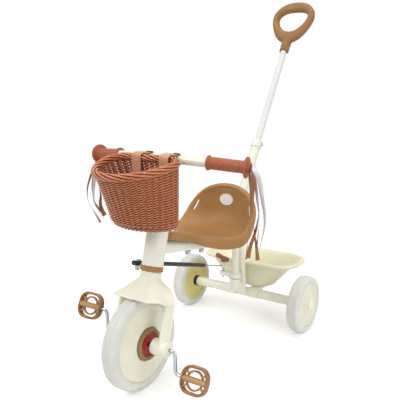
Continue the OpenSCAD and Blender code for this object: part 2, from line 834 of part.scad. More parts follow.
module steering_collar() {
    color(caramel) steered() difference() {
        union() {
            rod(collar_r, collar_base, collar_base + collar_h);
            rod(arm_w / 2, collar_base, collar_base + arm_t);
            translate([-arm_len, -arm_w / 2, collar_base]) cube([arm_len, arm_w, arm_t]);
            translate([-arm_len, 0, 0]) rod(arm_w / 2, collar_base, collar_base + arm_t);
        }
        rod(column_r + fit, collar_base - over, collar_base + collar_h + over);
        translate([-arm_len, 0, 0]) rod(pivot_r + fit, collar_base - over, collar_base + arm_t + over);
    }
}

module arm_bolt() {
    color(steel) steered() translate([-arm_len, 0, 0]) {
        rod(pivot_r, collar_base - 2 * pivot_r, link_up + link_r + run_gap + pivot_r);
        translate([0, 0, collar_base - fit - 2 * pivot_r])
            cylinder(h = 2 * pivot_r, r = 2 * pivot_r, $fn = 6);
        rod(2 * pivot_r, link_up + link_r + run_gap, link_up + link_r + run_gap + pivot_r);
    }
}

// Handlebar
// The frame of a grip, with z out along it from the end of the bar's bend
module grip_frame(side) {
    x = bar_half + bar_bend_r * sin(grip_sweep);
    back = bar_bend_r * (1 - cos(grip_sweep)) - bar_fwd;
    steered() mirror([side, 0, 0])
        translate([x, back, bar_base])
            rotate([0, 0, grip_sweep]) sideways() children();
}

bar_sides = 40;
bar_bend_steps = 5;
// A ring of the bar at a distance across and back, turned by the sweep so far
function bar_ring(r, x, back, turn) = [for (i = [0:bar_sides - 1]) let (a = 360 * i / bar_sides)
    [x - r * cos(a) * sin(turn), back + r * cos(a) * cos(turn), bar_base + r * sin(a)]];
// The bar's rings of one radius on one side, from the bend to the end
function bar_rings(r, side) =
    let (run = grip_len - 2 * flange_t)
    let (x = bar_half + bar_bend_r * sin(grip_sweep), back = bar_bend_r * (1 - cos(grip_sweep)) - bar_fwd)
    concat(
        [for (i = [0:bar_bend_steps]) let (a = grip_sweep * i / bar_bend_steps)
            bar_ring(r, side * (bar_half + bar_bend_r * sin(a)), bar_bend_r * (1 - cos(a)) - bar_fwd,
                side * a)],
        [bar_ring(r, side * (x + run * cos(grip_sweep)), back + run * sin(grip_sweep), side * grip_sweep)]
    );

function bar_line(r) = concat(reversed(bar_rings(r, -1)), bar_rings(r, 1));

module handlebar() {
    color(cream) steered() hoop(concat(bar_line(bar_r), reversed(bar_line(bar_r - bar_wall))));
}

module bar_clamp() {
    color(cream) steered() difference() {
        hull() {
            rod(column_r + clamp_wall, bar_base - clamp_half_w, bar_base + clamp_half_w);
            translate([0, -bar_fwd, bar_base])
                sideways() rod(bar_r + clamp_wall, -clamp_half_w, clamp_half_w);
        }
        rod(column_r + fit, bar_base - bar_fwd, bar_base + bar_fwd);
        translate([0, -bar_fwd, bar_base]) sideways() rod(bar_r + fit, -bar_half, bar_half);
    }
}

module grip(side) {
    bore = bar_r + fit;
    end = grip_len - 2 * flange_t + fit;
    color(terracotta) grip_frame(side) rotate_extrude() polygon(concat(
        [[bore, 0], [grip_flange_r - flange_t / 2, 0]],
        arc(grip_flange_r - flange_t / 2, flange_t / 2, flange_t / 2, -90, 90),
        [[grip_r, flange_t + flange_t / 2], [grip_r, grip_len - 3 * flange_t]],
        arc(grip_end_r - flange_t / 2, grip_len - 3 * flange_t / 2, flange_t / 2, -90, 90),
        [[grip_r - flange_t / 3, grip_len], [0, grip_len], [0, end], [bore, end]]
    ));
}

module grip_left() {
    grip(0);
}

module grip_right() {
    grip(1);
}

// Tassels
// Each ribbon's route from the grip's end on the rider's left, then on the right: out, back and up
ribbon_w = 11;
ribbon_t = 1;
ribbon_pitch = 2.4;
ribbon_out = 5;
ribbon_routes = [
    [
        [[6, -8, -14], [7, -7, -39], [7, -6, -82], [4, -9, -126], [1, -12, -169], [0, -14, -206]],
        [[10, -8, -10], [15, -4, -34], [19, -1, -72], [23, 3, -110], [21, 1, -152], [18, -2, -193]],
        [[9, -12, -12], [13, -12, -39], [13, -12, -95], [16, -9, -143], [21, -5, -184], [23, -3, -212]],
        [[13, -13, -10], [20, -10, -39], [25, -6, -95], [21, -10, -139], [12, -19, -178], [8, -23, -206]],
        [[17, -13, -8], [27, -10, -30], [32, -5, -68], [36, 0, -106], [36, 0, -140], [29, -8, -189]]
    ],
    [
        [[7, 6, -14], [20, -6, -48], [30, -16, -90], [29, -15, -128], [18, -4, -160], [9, 5, -186]],
        [[9, 9, -12], [14, 6, -43], [21, -1, -88], [22, -3, -129], [15, 4, -155], [5, 15, -177]],
        [[10, 12, -10], [14, 11, -37], [15, 11, -80], [12, 13, -115], [13, 12, -145], [6, 19, -174]],
        [[13, 12, -12], [24, 7, -48], [31, 0, -94], [29, 2, -132], [20, 11, -157], [8, 23, -175]],
        [[16, 18, -10], [16, 22, -37], [16, 21, -80], [14, 23, -113], [5, 32, -139], [-4, 41, -164]]
    ]
];
// The way a ribbon's width runs, on the rider's left and on the right
ribbon_ways = [[1, 1, 0], [1, -1, 0]];
// Sines of half a right angle flatten a ribbon's ring of eight points
ring_shares = [[1, 0], [0.92, 0.6], [0, 1], [-0.92, 0.6], [-1, 0], [-0.92, -0.6], [0, -1], [0.92, -0.6]];

grip_end_x = bar_half + bar_bend_r * sin(grip_sweep) + grip_len * cos(grip_sweep);
grip_end_back = bar_bend_r * (1 - cos(grip_sweep)) - bar_fwd + grip_len * sin(grip_sweep);
grip_end = [
    grip_end_x,
    grip_end_back * cos(steer_lean) + bar_base * sin(steer_lean),
    front_r + bar_base * cos(steer_lean) - grip_end_back * sin(steer_lean)
];
grip_out = [cos(grip_sweep), sin(grip_sweep) * cos(steer_lean), -sin(grip_sweep) * sin(steer_lean)];
grip_rise = [0, sin(steer_lean), cos(steer_lean)];

function ribbon_path(side, k) =
    let (start = grip_end + grip_rise * ribbon_pitch * (k - 2))
    concat([start, start + grip_out * ribbon_out], [for (p = ribbon_routes[side][k]) start + p]);
function ribbon_ring(side, path, j) =
    let (m = len(path) - 1)
    let (t = unit(j == 0 ? path[1] - path[0] : path[min(j + 1, m)] - path[j - 1]))
    let (n = unit(cross(t, ribbon_ways[side])), w = cross(n, t))
    [for (s = ring_shares) path[j] + w * s[0] * ribbon_w / 2 - n * s[1] * ribbon_t / 2];

module ribbon(side, k) {
    path = ribbon_path(side, k);
    loft([for (j = [0:len(path) - 1]) ribbon_ring(side, path, j)]);
}

module tassel(side, which) {
    place() mirror([side, 0, 0]) for (k = which) ribbon(side, k);
}

tan_ribbons = [0, 2, 3];
pale_ribbons = [1, 4];

module tassel_left_tan() {
    color(caramel) tassel(0, tan_ribbons);
}

module tassel_left_pale() {
    color(white) tassel(0, pale_ribbons);
}

module tassel_right_tan() {
    color(caramel) tassel(1, tan_ribbons);
}

module tassel_right_pale() {
    color(white) tassel(1, pale_ribbons);
}

// Basket
basket_turns = 20;
// A rounded half-oval seen from above: straight back, round back corners and one wide front curve
function half_oval(half_w, depth, back, corner) = concat(
    arc(half_w - corner, back - corner, corner, 0, 90, edge_steps),
    arc(corner - half_w, back - corner, corner, 90, 180, edge_steps),
    [for (i = [1:basket_turns - 1]) let (a = 180 + 180 * i / basket_turns)
        [half_w * cos(a), back - corner + (depth - corner) * sin(a)]]
);
// Points spread evenly along a closed line
function even_line(line, count) =
    let (closed = concat(line, [line[0]]), last = len(line))
    let (steps = [for (i = [0:last]) i < last ? norm(closed[i + 1] - closed[i]) : 0])
    let (runs = [for (i = 0, run = 0; i <= last; run = run + steps[i], i = i + 1) run])
    let (xs = [for (i = [0:last]) [runs[i], closed[i][0]]])
    let (ys = [for (i = [0:last]) [runs[i], closed[i][1]]])
    [for (k = [0:count - 1]) let (d = runs[last] * k / count) [lookup(d, xs), lookup(d, ys)]];
floor_back_y = rim_y + rim_r / 5;
// A ring of the basket at a share of its height, moved out and up
function basket_ring(h, out, up) =
    [for (p = even_line(half_oval(mix(floor_half_w, rim_half_w, h) + out, mix(floor_d, rim_d, h) + 2 * out,
        mix(floor_back_y, rim_y, h) + out, rim_corner + out), 2 * basket_stakes))
        [basket_x + floor_shift * (1 - h) + p[0], p[1],
            mix(basket_floor_z, rim_top_z + (p[1] - rim_y) * tan(rim_fall), h) + up]];
// The weave stands out and in by turns over every second point, a row of cane at a time
basket_stakes = 34;
weave_rows = 30;
weave_low_share = 0.13;
weave_high_share = 0.93;
function weave_ring(row) =
    let (h = mix(weave_low_share, weave_high_share, row / weave_rows))
    let (mid = basket_ring(h, 0, 0), far = basket_ring(h, weave_d, 0))
    [for (i = [0:len(mid) - 1]) mid[i] + (far[i] - mid[i]) * (i % 2) * ((i + 1) / 2 % 2 == row % 2 ? 1 : -1)];
level_shares = [0.25, 0.5, 0.75];

module basket() {
    edge = [for (a = [0:30:90]) [basket_edge * (sin(a) - 1), basket_edge * (1 - cos(a))]];
    roll = [for (a = [-60:30:240]) [rim_r * cos(a), rim_r * sin(a)]];
    inner = -basket_wall;
    color(terracotta) place() loft(concat(
        [for (e = edge) basket_ring(0, e[0], e[1])],
        [for (row = [0:weave_rows]) weave_ring(row)],
        [for (e = roll) basket_ring(1, e[0] + inner / 2, e[1])],
        [for (h = reversed(level_shares)) basket_ring(h, inner, 0)],
        [for (i = [len(edge) - 1:-1:0]) basket_ring(0, edge[i][0] + inner, edge[i][1] + basket_wall)]
    ));
}

// A strap goes round the bar, over the rim and down inside the basket
strap_ring_r = bar_r + 2 * fit + strap_t / 2;
strap_in_y = rim_y - basket_wall / 2 - rim_r - strap_t / 2 - fit;
strap_line = concat(
    [[strap_in_y, rim_top_z - strap_drop], [strap_in_y, rim_top_z]],
    [for (a = [150:-30:90]) [rim_y - basket_wall / 2 + (rim_r + strap_t) * cos(a),
        rim_top_z + (rim_r + strap_t / 2 + 2 * fit) * sin(a)]],
    [for (a = [90:-15:-150]) [bar_y + strap_ring_r * cos(a), bar_z + strap_ring_r * sin(a)]]
);
// The two edges of a band along a line of points
function band_side(line, half) = [for (i = [0:len(line) - 1])
    let (t = unit(line[min(i + 1, len(line) - 1)] - line[max(i - 1, 0)])) line[i] + half * [-t[1], t[0]]];

module strap(side) {
    left = band_side(strap_line, strap_t / 2);
    right = band_side(strap_line, -strap_t / 2);
    color("#8f5a33") place() translate([basket_x + strap_shift + side * strap_x - strap_w / 2, 0, 0])
        rotate([90, 0, 90]) linear_extrude(strap_w)
            polygon(concat(left, [for (i = [len(right) - 1:-1:0]) right[i]]));
}

module strap_left() {
    strap(1);
}

module strap_right() {
    strap(-1);
}

// Wheels
module front_axis() {
    place() translate([0, 0, front_r]) sideways() children();
}

module tyre(r, w, edge, depth) {
    rotate_extrude() polygon(concat(
        arc(r - edge, edge - w / 2, edge, -90, 0),
        arc(r - edge, w / 2 - edge, edge, 0, 90),
        [[r - depth, w / 2], [r - depth, -w / 2]]
    ));
}

module front_tyre() {
    color(white) front_axis() tyre(front_r, front_w, front_edge, front_tyre_d);
}

// Half of a disc's outline from its bore to its rim, mirrored by the second call
function disc_half(bore, hub_r, hub_w, web_w, rim_r, rim_w, lip, s) = [
    [bore, s * hub_w / 2], [hub_r, s * hub_w / 2], [hub_r + lip, s * web_w / 2],
    [rim_r - 2 * lip, s * web_w / 2], [rim_r - lip, s * rim_w / 2], [rim_r, s * rim_w / 2]
];
module disc(bore, hub_r, hub_w, web_w, rim_r, rim_w, lip) {
    low = disc_half(bore, hub_r, hub_w, web_w, rim_r, rim_w, lip, -1);
    high = disc_half(bore, hub_r, hub_w, web_w, rim_r, rim_w, lip, 1);
    rotate_extrude() polygon(concat(low, [for (i = [len(high) - 1:-1:0]) high[i]]));
}

front_web_w = 36;
front_lip = 5;
module front_disc() {
    color(cream) front_axis()
        disc(crank_r + fit, front_hub_r, front_hub_w, front_web_w, front_r - front_tyre_d - fit,
            front_w - front_lip, front_lip);
}

module hub_ring() {
    color(caramel) front_axis() tube(hub_ring_r, clutch_r + run_gap, front_hub_w / 2 + fit,
        front_hub_w / 2 + fit + hub_ring_w);
}

module clutch_disc() {
    color("#b02a1c") front_axis() tube(clutch_r, crank_r + run_fit, front_hub_w / 2 + fit,
        front_hub_w / 2 + fit + clutch_t);
}

// One side of the crank: out of the axle, down the arm and out along the spindle
module crank_side() {
    arm = crank_len - 2 * crank_bend_r;
    spindle = pedal_in + pedal_w - 2 * pedal_frame;
    sideways() rod(crank_r, 0, crank_x - crank_bend_r);
    translate([crank_x - crank_bend_r, 0, -crank_bend_r]) rotate([90, 0, 0])
        rotate_extrude(angle = 90) translate([crank_bend_r, 0]) circle(crank_r);
    translate([crank_x, 0, 0]) rod(crank_r, -crank_bend_r - arm, -crank_bend_r);
    translate([crank_x + crank_bend_r, 0, -crank_bend_r - arm]) rotate([90, 0, 0]) rotate([0, 0, 180])
        rotate_extrude(angle = 90) translate([crank_bend_r, 0]) circle(crank_r);
    translate([0, 0, -crank_len]) sideways() rod(crank_r, crank_x + crank_bend_r, spindle);
}

module crank() {
    color(steel) place() translate([0, 0, front_r]) {
        crank_side();
        rotate([180, 0, 0]) mirror([1, 0, 0]) crank_side();
    }
}

// A rectangle with round corners, centred
module round_rect(w, d, r) {
    polygon(concat(
        arc(w / 2 - r, d / 2 - r, r, 0, 90),
        arc(r - w / 2, d / 2 - r, r, 90, 180),
        arc(r - w / 2, r - d / 2, r, 180, 270),
        arc(w / 2 - r, r - d / 2, r, 270, 360)
    ));
}

spindle_wall = 3.2;
module pedal_body() {
    barrel = crank_r + spindle_wall;
    rib = pedal_bar / 2;
    corner = [pedal_w / 2 - pedal_corner, pedal_d / 2 - pedal_corner];
    reach = norm(corner) + pedal_corner - pedal_frame / 2;
    difference() {
        union() {
            translate([0, 0, -pedal_t / 2]) linear_extrude(pedal_t) difference() {
                round_rect(pedal_w, pedal_d, pedal_corner);
                round_rect(pedal_w - 2 * pedal_frame, pedal_d - 2 * pedal_frame, pedal_corner - pedal_frame);
            }
            tube(pedal_ring_r, pedal_ring_r - pedal_bar, -pedal_t / 4, pedal_t / 4);
            sideways() rod(barrel, pedal_frame / 2 - pedal_w / 2, pedal_w / 2 - pedal_frame / 2);
            for (a = [-1, 1]) for (b = [-1, 1]) rotate([0, 0, atan2(b * corner[1], a * corner[0])])
                translate([pedal_ring_r - rib, -rib, -pedal_t / 4])
                    cube([reach - pedal_ring_r + rib, pedal_bar, pedal_t / 2]);
        }
        sideways() rod(crank_r + run_fit, -pedal_w / 2 - over, pedal_w / 2 - 2 * pedal_frame + run_gap);
    }
}

module pedal_left() {
    color(caramel) place() translate([pedal_in + pedal_w / 2, 0, front_r - crank_len])
        rotate([pedal_tilt, 0, 0]) pedal_body();
}

module pedal_right() {
    color(caramel) place() translate([-pedal_in - pedal_w / 2, 0, front_r + crank_len])
        rotate([pedal_tilt, 0, 0]) mirror([1, 0, 0]) pedal_body();
}

rear_web_w = 20;
rear_lip = 4;
module rear_tyre(side) {
    color(white) rear_axis() translate([0, 0, side * track / 2]) tyre(rear_r, rear_w, rear_edge, rear_tyre_d);
}

module rear_disc(side) {
    color(cream) rear_axis() translate([0, 0, side * track / 2])
        disc(axle_r + run_fit, rear_hub_r, rear_w, rear_web_w, rear_r - rear_tyre_d - fit, rear_w - rear_lip,
            rear_lip);
}

module rear_tyre_left() {
    rear_tyre(1);
}

module rear_tyre_right() {
    rear_tyre(-1);
}

module rear_disc_left() {
    rear_disc(1);
}

module rear_disc_right() {
    rear_disc(-1);
}

// Push pole
module on_post() {
    place() translate([0, post_y, 0]) children();
}

// The pole's upper line, with z along it from the bend
module on_pole() {
    on_post() translate([0, 0, pole_bend_z]) rotate([-pole_lean, 0, 0]) children();
}
bend_run = pole_bend_r * tan(pole_lean / 2);
post_top_z = pole_bend_z - bend_run;

module post() {
    color(cream) on_post()
        tube(post_r, post_r - bar_wall, post_foot_z + run_gap, post_top_z - pole_wall - fit);
}

module post_arm() {
    reach = pin_r + pin_play + pole_wall + pole_wall;
    color(cream) on_post() difference() {
        union() {
            rod(cup_r, arm_z, arm_z + post_arm_t);
            translate([-arm_len, -reach, arm_z]) cube([arm_len, 2 * reach, post_arm_t]);
            translate([-arm_len, 0, 0]) rod(reach, arm_z, arm_z + post_arm_t);
        }
        rod(post_r + fit, arm_z - over, arm_z + post_arm_t + over);
        translate([-arm_len, 0, 0]) rod(pin_r + pin_play, arm_z - over, arm_z + post_arm_t + over);
    }
}

// A ring of a bent rod round the post's line, the bend and the pole's line
pole_sides = 40;
bend_steps = 8;
function pole_ring(r, y, z, lean) = [for (i = [0:pole_sides - 1]) let (a = 360 * i / pole_sides)
    [r * cos(a), y + r * sin(a) * cos(lean), z - r * sin(a) * sin(lean)]];

module bent_rod(r, low, high) {
    on_post() loft(concat(
        [pole_ring(r, 0, low, 0)],
        [for (i = [0:bend_steps]) let (a = pole_lean * i / bend_steps)
            pole_ring(r, pole_bend_r * (1 - cos(a)), post_top_z + pole_bend_r * sin(a), a)],
        [pole_ring(r, high * sin(pole_lean), pole_bend_z + high * cos(pole_lean), pole_lean)]
    ));
}

module pole_lower() {
    color(cream) difference() {
        bent_rod(post_r + fit + pole_wall, lower_foot, lower_len);
        on_post() rod(post_r + fit, lower_foot - over, post_top_z - pole_wall);
        on_pole() rod(upper_r + run_gap, bend_run + pole_wall, lower_len + over);
    }
}

module pole_collar() {
    outer = post_r + fit + pole_wall;
    color(cream) on_pole() difference() {
        tube(outer + fit + pole_collar_wall, outer + fit, lower_len - pole_collar_h, lower_len);
        translate([0, 0, lower_len - pole_collar_h / 2]) sideways() rod(button_r + run_gap, 0, 2 * outer);
    }
}

// The button stands in the collar's hole, over the lower pole's wall
button_travel = 2;
module pole_button() {
    outer = post_r + fit + pole_wall;
    inner = outer + run_gap + button_travel;
    color(steel) on_pole() translate([0, 0, lower_len - pole_collar_h / 2]) sideways() {
        rod(button_r, inner, outer + pole_collar_wall + button_r);
    }
}

module pole_upper() {
    color(cream) on_pole()
        tube(upper_r, upper_r - bar_wall, lower_len - upper_sunk, pole_len + handle_neck_r);
}

// Each row: shares of the loop's half width and of the handle's height, and the rail's half width
// as a share of the handle's height
handle_shares = [
    [0.00, 0.900, 0.098],
    [0.30, 0.892, 0.094],
    [0.56, 0.855, 0.082],
    [0.77, 0.780, 0.068],
    [0.85, 0.690, 0.062],
    [0.82, 0.590, 0.062],
    [0.69, 0.475, 0.070],
    [0.48, 0.365, 0.090],
    [0.24, 0.300, 0.108],
    [0.00, 0.280, 0.115]
];
handle_steps = 2 * (len(handle_shares) - 1);
handle_turns = 2 * handle_steps;
rail_sides = 12;
// A point of the loop's middle line with its rail, from the top round by +x
function handle_row(k) = let (i = k > handle_steps ? handle_turns - k : k, s = k > handle_steps ? -1 : 1)
    let (r = smooth(handle_shares, i / 2)) [s * r[0] * handle_w / 2, r[1] * handle_h, r[2] * handle_h];
function handle_ring(k) =
    let (c = handle_row(k))
    let (a = handle_row((k + handle_turns - 1) % handle_turns), b = handle_row((k + 1) % handle_turns))
    let (t = unit([b[0] - a[0], b[1] - a[1]]), n = [-t[1], t[0]])
    [for (i = [0:rail_sides - 1]) let (q = 360 * i / rail_sides)
        [c[0] + n[0] * c[2] * cos(q), handle_t / 2 * sin(q), c[1] + n[1] * c[2] * cos(q)]];

module push_handle() {
    neck_top = handle_shares[len(handle_shares) - 1][1] * handle_h;
    color(caramel) on_pole() translate([0, 0, pole_len]) difference() {
        union() {
            hoop([for (k = [handle_turns - 1:-1:0]) handle_ring(k)]);
            rod(handle_neck_r, -flange_t, neck_top);
        }
        rod(upper_r + fit, -flange_t - over, handle_neck_r + fit);
    }
}

// Link
// The link's frame on the steering arm, with z back along the link from its pivot
module on_link() {
    steered() translate([-arm_len, 0, link_up]) rotate([-90, 0, 0]) children();
}
rod_sunk = 30;

module link_sleeve() {
    color(black) difference() {
        on_link() rod(link_r, cap_len - cap_reach, sleeve_len);
        on_link() rod(rod_r + fit, sleeve_len - rod_sunk - fit, sleeve_len + over);
        steered() translate([-arm_len, 0, 0]) rod(pivot_r + run_fit, collar_base, link_up + 2 * link_r);
    }
}

module link_cap() {
    color(black) on_link() rod(link_r + fit, -cap_reach, cap_len - cap_reach - fit);
}

module link_rod() {
    color(steel) difference() {
        union() {
            on_link() rod(rod_r, sleeve_len - rod_sunk, link_len);
            on_post() translate([-arm_len, 0, 0]) rod(eye_r, eye_z - eye_h / 2, eye_z + eye_h / 2);
        }
        on_post() translate([-arm_len, 0, 0]) rod(pin_r + run_fit, eye_z - eye_h, eye_z + eye_h);
    }
}

knob_stem_h = 8;
module lock_pin() {
    color(steel) on_post() translate([-arm_len, 0, 0])
        rod(pin_r, eye_z - eye_h / 2 - pin_reach, eye_z + eye_h / 2 + knob_stem_h);
}

module lock_knob() {
    base = eye_z + eye_h / 2 + run_gap;
    color("#7a3f22") on_post() translate([-arm_len, 0, 0]) difference() {
        union() {
            rod(eye_r - rod_r, base, base + knob_stem_h);
            translate([0, 0, base + knob_stem_h + knob_r / 2]) rotate([0, knob_slant, -knob_turn])
                sideways() rod(knob_r, -knob_len / 2 - knob_shift, knob_len / 2 - knob_shift);
        }
        rod(pin_r + fit, base - over, eye_z + eye_h / 2 + knob_stem_h + fit);
    }
}

// Bucket
function oval_ring(half_w, front, depth, corner, z) =
    let (mid = front + depth / 2, a = half_w - corner, b = depth / 2 - corner)
    [for (p = concat(
        arc(a, b, corner, 0, 90), arc(-a, b, corner, 90, 180),
        arc(-a, -b, corner, 180, 270), arc(a, -b, corner, 270, 360)))
        [p[0], wheelbase + mid + p[1], z]];
// Share of the floor's lack of depth that lies at the front
floor_set_share = 0.12;
floor_front = bucket_front + (bucket_d - bucket_floor_d) * floor_set_share;
// A ring of the bucket at a share of its height, moved out and up
function bucket_ring(h, out, up) = oval_ring(
    mix(bucket_floor_half_w, bucket_half_w, h) + out, mix(floor_front, bucket_front, h) - out,
    mix(bucket_floor_d, bucket_d, h) + 2 * out, bucket_corner + out, mix(bucket_z, bucket_rim_z, h) + up);

module bucket() {
    inner = -bucket_wall;
    lip = bucket_wall / 2;
    color(cream) place() loft([
        bucket_ring(0, inner, 0),
        bucket_ring(0, 0, bucket_wall),
        bucket_ring(1, 0, -bucket_rim_d),
        bucket_ring(1, bucket_rim_w - lip, -bucket_rim_d),
        bucket_ring(1, bucket_rim_w, lip - bucket_rim_d),
        bucket_ring(1, bucket_rim_w, -lip),
        bucket_ring(1, bucket_rim_w - lip, 0),
        bucket_ring(1, lip, 0),
        bucket_ring(1, 0, -lip),
        bucket_ring(1, inner, -bucket_rim_d),
        bucket_ring(0, inner, 2 * bucket_wall),
        bucket_ring(0, 2 * inner, bucket_wall)
    ]);
}

module bucket_clips() {
    bore = axle_tube_r + run_gap;
    outer = bore + clip_wall;
    back = floor_front + bucket_corner;
    color(cream) difference() {
        union() for (s = [-1, 1]) {
            rear_axis() rod(outer, s * clip_x - clip_w / 2, s * clip_x + clip_w / 2);
            place() translate([s * clip_x - clip_w / 2, wheelbase, bucket_z - fit - 2 * clip_wall])
                cube([clip_w, back, 2 * clip_wall]);
        }
        rear_axis() rod(bore, -tube_half, tube_half);
        place() translate([-track / 2, wheelbase - 2 * outer, 0])
            cube([track, 3 * outer, rear_r - bore * clip_open_share]);
        place() translate([-track / 2, wheelbase - 2 * outer, bucket_z - fit])
            cube([track, 2 * outer + back, outer]);
    }
}
clip_open_share = 0.7;

head_tube();
head_bushes();
main_tube();
pole_bearing();
down_tube();
rear_bracket();
axle_tube();
rear_axle();
axle_bushes();
axle_caps();
seat();
seat_badge();
seat_bolts();
seat_spacers();
fork();
axle_housings();
column_pin();
steering_column();
steering_collar();
arm_bolt();
handlebar();
bar_clamp();
grip_left();
grip_right();
basket();
strap_left();
strap_right();
tassel_left_tan();
tassel_left_pale();
tassel_right_tan();
tassel_right_pale();
front_tyre();
front_disc();
hub_ring();
clutch_disc();
crank();
pedal_left();
pedal_right();
rear_tyre_left();
rear_tyre_right();
rear_disc_left();
rear_disc_right();
post();
post_arm();
pole_lower();
pole_collar();
pole_button();
pole_upper();
push_handle();
link_sleeve();
link_cap();
link_rod();
lock_pin();
lock_knob();
bucket();
bucket_clips();
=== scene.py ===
import bpy
import bmesh
from math import sin, cos, tan, atan2, pi, radians, sqrt, hypot, floor
from mathutils import Vector, Matrix


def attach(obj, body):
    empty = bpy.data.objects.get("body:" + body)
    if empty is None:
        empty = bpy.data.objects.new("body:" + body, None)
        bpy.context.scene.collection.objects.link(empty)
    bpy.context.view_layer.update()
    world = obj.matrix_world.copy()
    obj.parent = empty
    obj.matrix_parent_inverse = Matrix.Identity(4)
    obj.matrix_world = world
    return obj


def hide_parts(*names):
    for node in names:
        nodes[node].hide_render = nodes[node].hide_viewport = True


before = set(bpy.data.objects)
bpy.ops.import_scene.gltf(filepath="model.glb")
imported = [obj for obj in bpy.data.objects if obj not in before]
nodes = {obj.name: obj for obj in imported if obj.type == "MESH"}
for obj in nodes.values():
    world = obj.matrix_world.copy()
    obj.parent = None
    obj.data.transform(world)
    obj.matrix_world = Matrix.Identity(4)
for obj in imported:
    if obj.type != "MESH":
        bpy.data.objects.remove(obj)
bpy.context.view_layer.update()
scene = bpy.context.scene
print("frame loaded:", len(nodes), "nodes")

# lengths below are millimetres from the front axle, as on the drawing
mm = 0.001
midY = 368.955  # middle of the trike's box behind the front axle
axleUp = 120
steerLean = radians(17)
pole = dict(y=455, z=345, lean=radians(31.7))
bar = dict(half=122, bend=40, sweep=radians(13.8), fwd=30.5, up=448.5, r=11, grip=104)
bothSides = (("left", 1), ("right", -1))


def spot(x, y, z):
    return Vector((x * mm, (y - midY) * mm, z * mm))


# across, back from the steering line, up along it
def steerPoint(x, back, up):
    return (x, back * cos(steerLean) + up * sin(steerLean),
            axleUp - back * sin(steerLean) + up * cos(steerLean))


def steerSpot(x, back, up):
    return spot(*steerPoint(x, back, up))


def poleSpot(x, back, along):
    lean = pole["lean"]
    return spot(x, pole["y"] + back * cos(lean) + along * sin(lean),
                pole["z"] - back * sin(lean) + along * cos(lean))


# out and back of a point along the handlebar's swept end
def barPoint(along, aside=0):
    turn = bar["sweep"]
    return (bar["half"] + bar["bend"] * sin(turn) + along * cos(turn) - aside * sin(turn),
            bar["bend"] * (1 - cos(turn)) - bar["fwd"] + along * sin(turn) + aside * cos(turn))


def mix(a, b, t):
    return a + (b - a) * t


def circle(count):
    return [2 * pi * k / count for k in range(count)]


# smooth line through the rows of a table
def smoothRow(rows, t):
    last = len(rows) - 1
    i = min(int(floor(t)), last - 1)
    f = t - i
    a, b, c, d = rows[max(i - 1, 0)], rows[i], rows[i + 1], rows[min(i + 2, last)]
    return [(2 * q + (r - p) * f + (2 * p - 5 * q + 4 * r - s) * f * f + (3 * q - p - 3 * r + s) * f ** 3) / 2
            for p, q, r, s in zip(a, b, c, d)]


def newPiece(name, points, faces, sharp=None):
    mesh = bpy.data.meshes.new(name)
    mesh.from_pydata([tuple(p) for p in points], [], faces)
    bm = bmesh.new()
    bm.from_mesh(mesh)
    bmesh.ops.recalc_face_normals(bm, faces=bm.faces)
    bm.to_mesh(mesh)
    bm.free()
    mesh.shade_smooth()
    if sharp:
        mesh.set_sharp_from_angle(angle=radians(sharp))
    piece = bpy.data.objects.new(name, mesh)
    scene.collection.objects.link(piece)
    return piece


# quads over a stack of rings; the stack may close on itself, and open ends may be capped
def ringFaces(stack, around, start=0, loop=False, caps=False, openRing=False):
    faces = []
    for j in range(stack if loop else stack - 1):
        low, high = start + j * around, start + (j + 1) % stack * around
        for i in range(around - 1 if openRing else around):
            n = (i + 1) % around
            faces.append((low + i, low + n, high + n, high + i))
    if caps:
        faces.append(tuple(start + i for i in reversed(range(around))))
        faces.append(tuple(start + (stack - 1) * around + i for i in range(around)))
    return faces


class Shells:
    # collects several closed forms for one piece
    def __init__(self):
        self.points, self.faces = [], []

    def rings(self, rings, **how):
        self.faces += ringFaces(len(rings), len(rings[0]), start=len(self.points), **how)
        for r in rings:
            self.points += r

    def make(self, name, sharp=None):
        return newPiece(name, self.points, self.faces, sharp)


# a piece of one form
def loft(name, rings, sharp=None, **how):
    shells = Shells()
    shells.rings(rings, **how)
    return shells.make(name, sharp)


# rings of a tube along points, carried without twist; a closed run shares its leftover twist out
def tubeRings(points, radius, sides, closed=False):
    n = len(points)
    tangents = []
    for i in range(n):
        a = points[(i - 1) % n] if closed or i else points[0]
        b = points[(i + 1) % n] if closed or i < n - 1 else points[-1]
        tangents.append((b - a).normalized())
    side = tangents[0].orthogonal().normalized()
    frames = [side]
    for i in range(1, n):
        side = (side - tangents[i] * side.dot(tangents[i])).normalized()
        frames.append(side)
    spare = 0.0
    if closed:
        end = (side - tangents[0] * side.dot(tangents[0])).normalized()
        spare = end.angle(frames[0])
        if end.cross(frames[0]).dot(tangents[0]) < 0:
            spare = -spare
    rings = []
    for i in range(n):
        u = Matrix.Rotation(spare * i / n, 3, tangents[i]) @ frames[i]
        v = tangents[i].cross(u)
        rings.append([points[i] + (u * cos(a) + v * sin(a)) * radius for a in circle(sides)])
    return rings


# a turned form: profile rows are (radius, along), place maps (side, up, along) to the trike
def turned(name, profile, place, turns=96, sharp=40, shape=None):
    rings = []
    for a in circle(turns):
        ring = []
        for r, along in profile:
            q = r + (shape(r, along, a) if shape else 0)
            ring.append(place(q * cos(a), q * sin(a), along))
        rings.append(ring)
    return loft(name, rings, sharp, loop=True)


# round rings, one for each (radius, along)
def hoops(rows, place, count):
    return [[place(r * cos(a), r * sin(a), along) for a in circle(count)] for r, along in rows]


# a half profile with its mirror, as one closed line
def bothWays(half):
    return [(a, -b) for a, b in half] + list(reversed(half))


def roundEdge(x, y, r, start, end, steps=6):
    turns = [radians(mix(start, end, i / steps)) for i in range(steps + 1)]
    return [(x + r * cos(a), y + r * sin(a)) for a in turns]


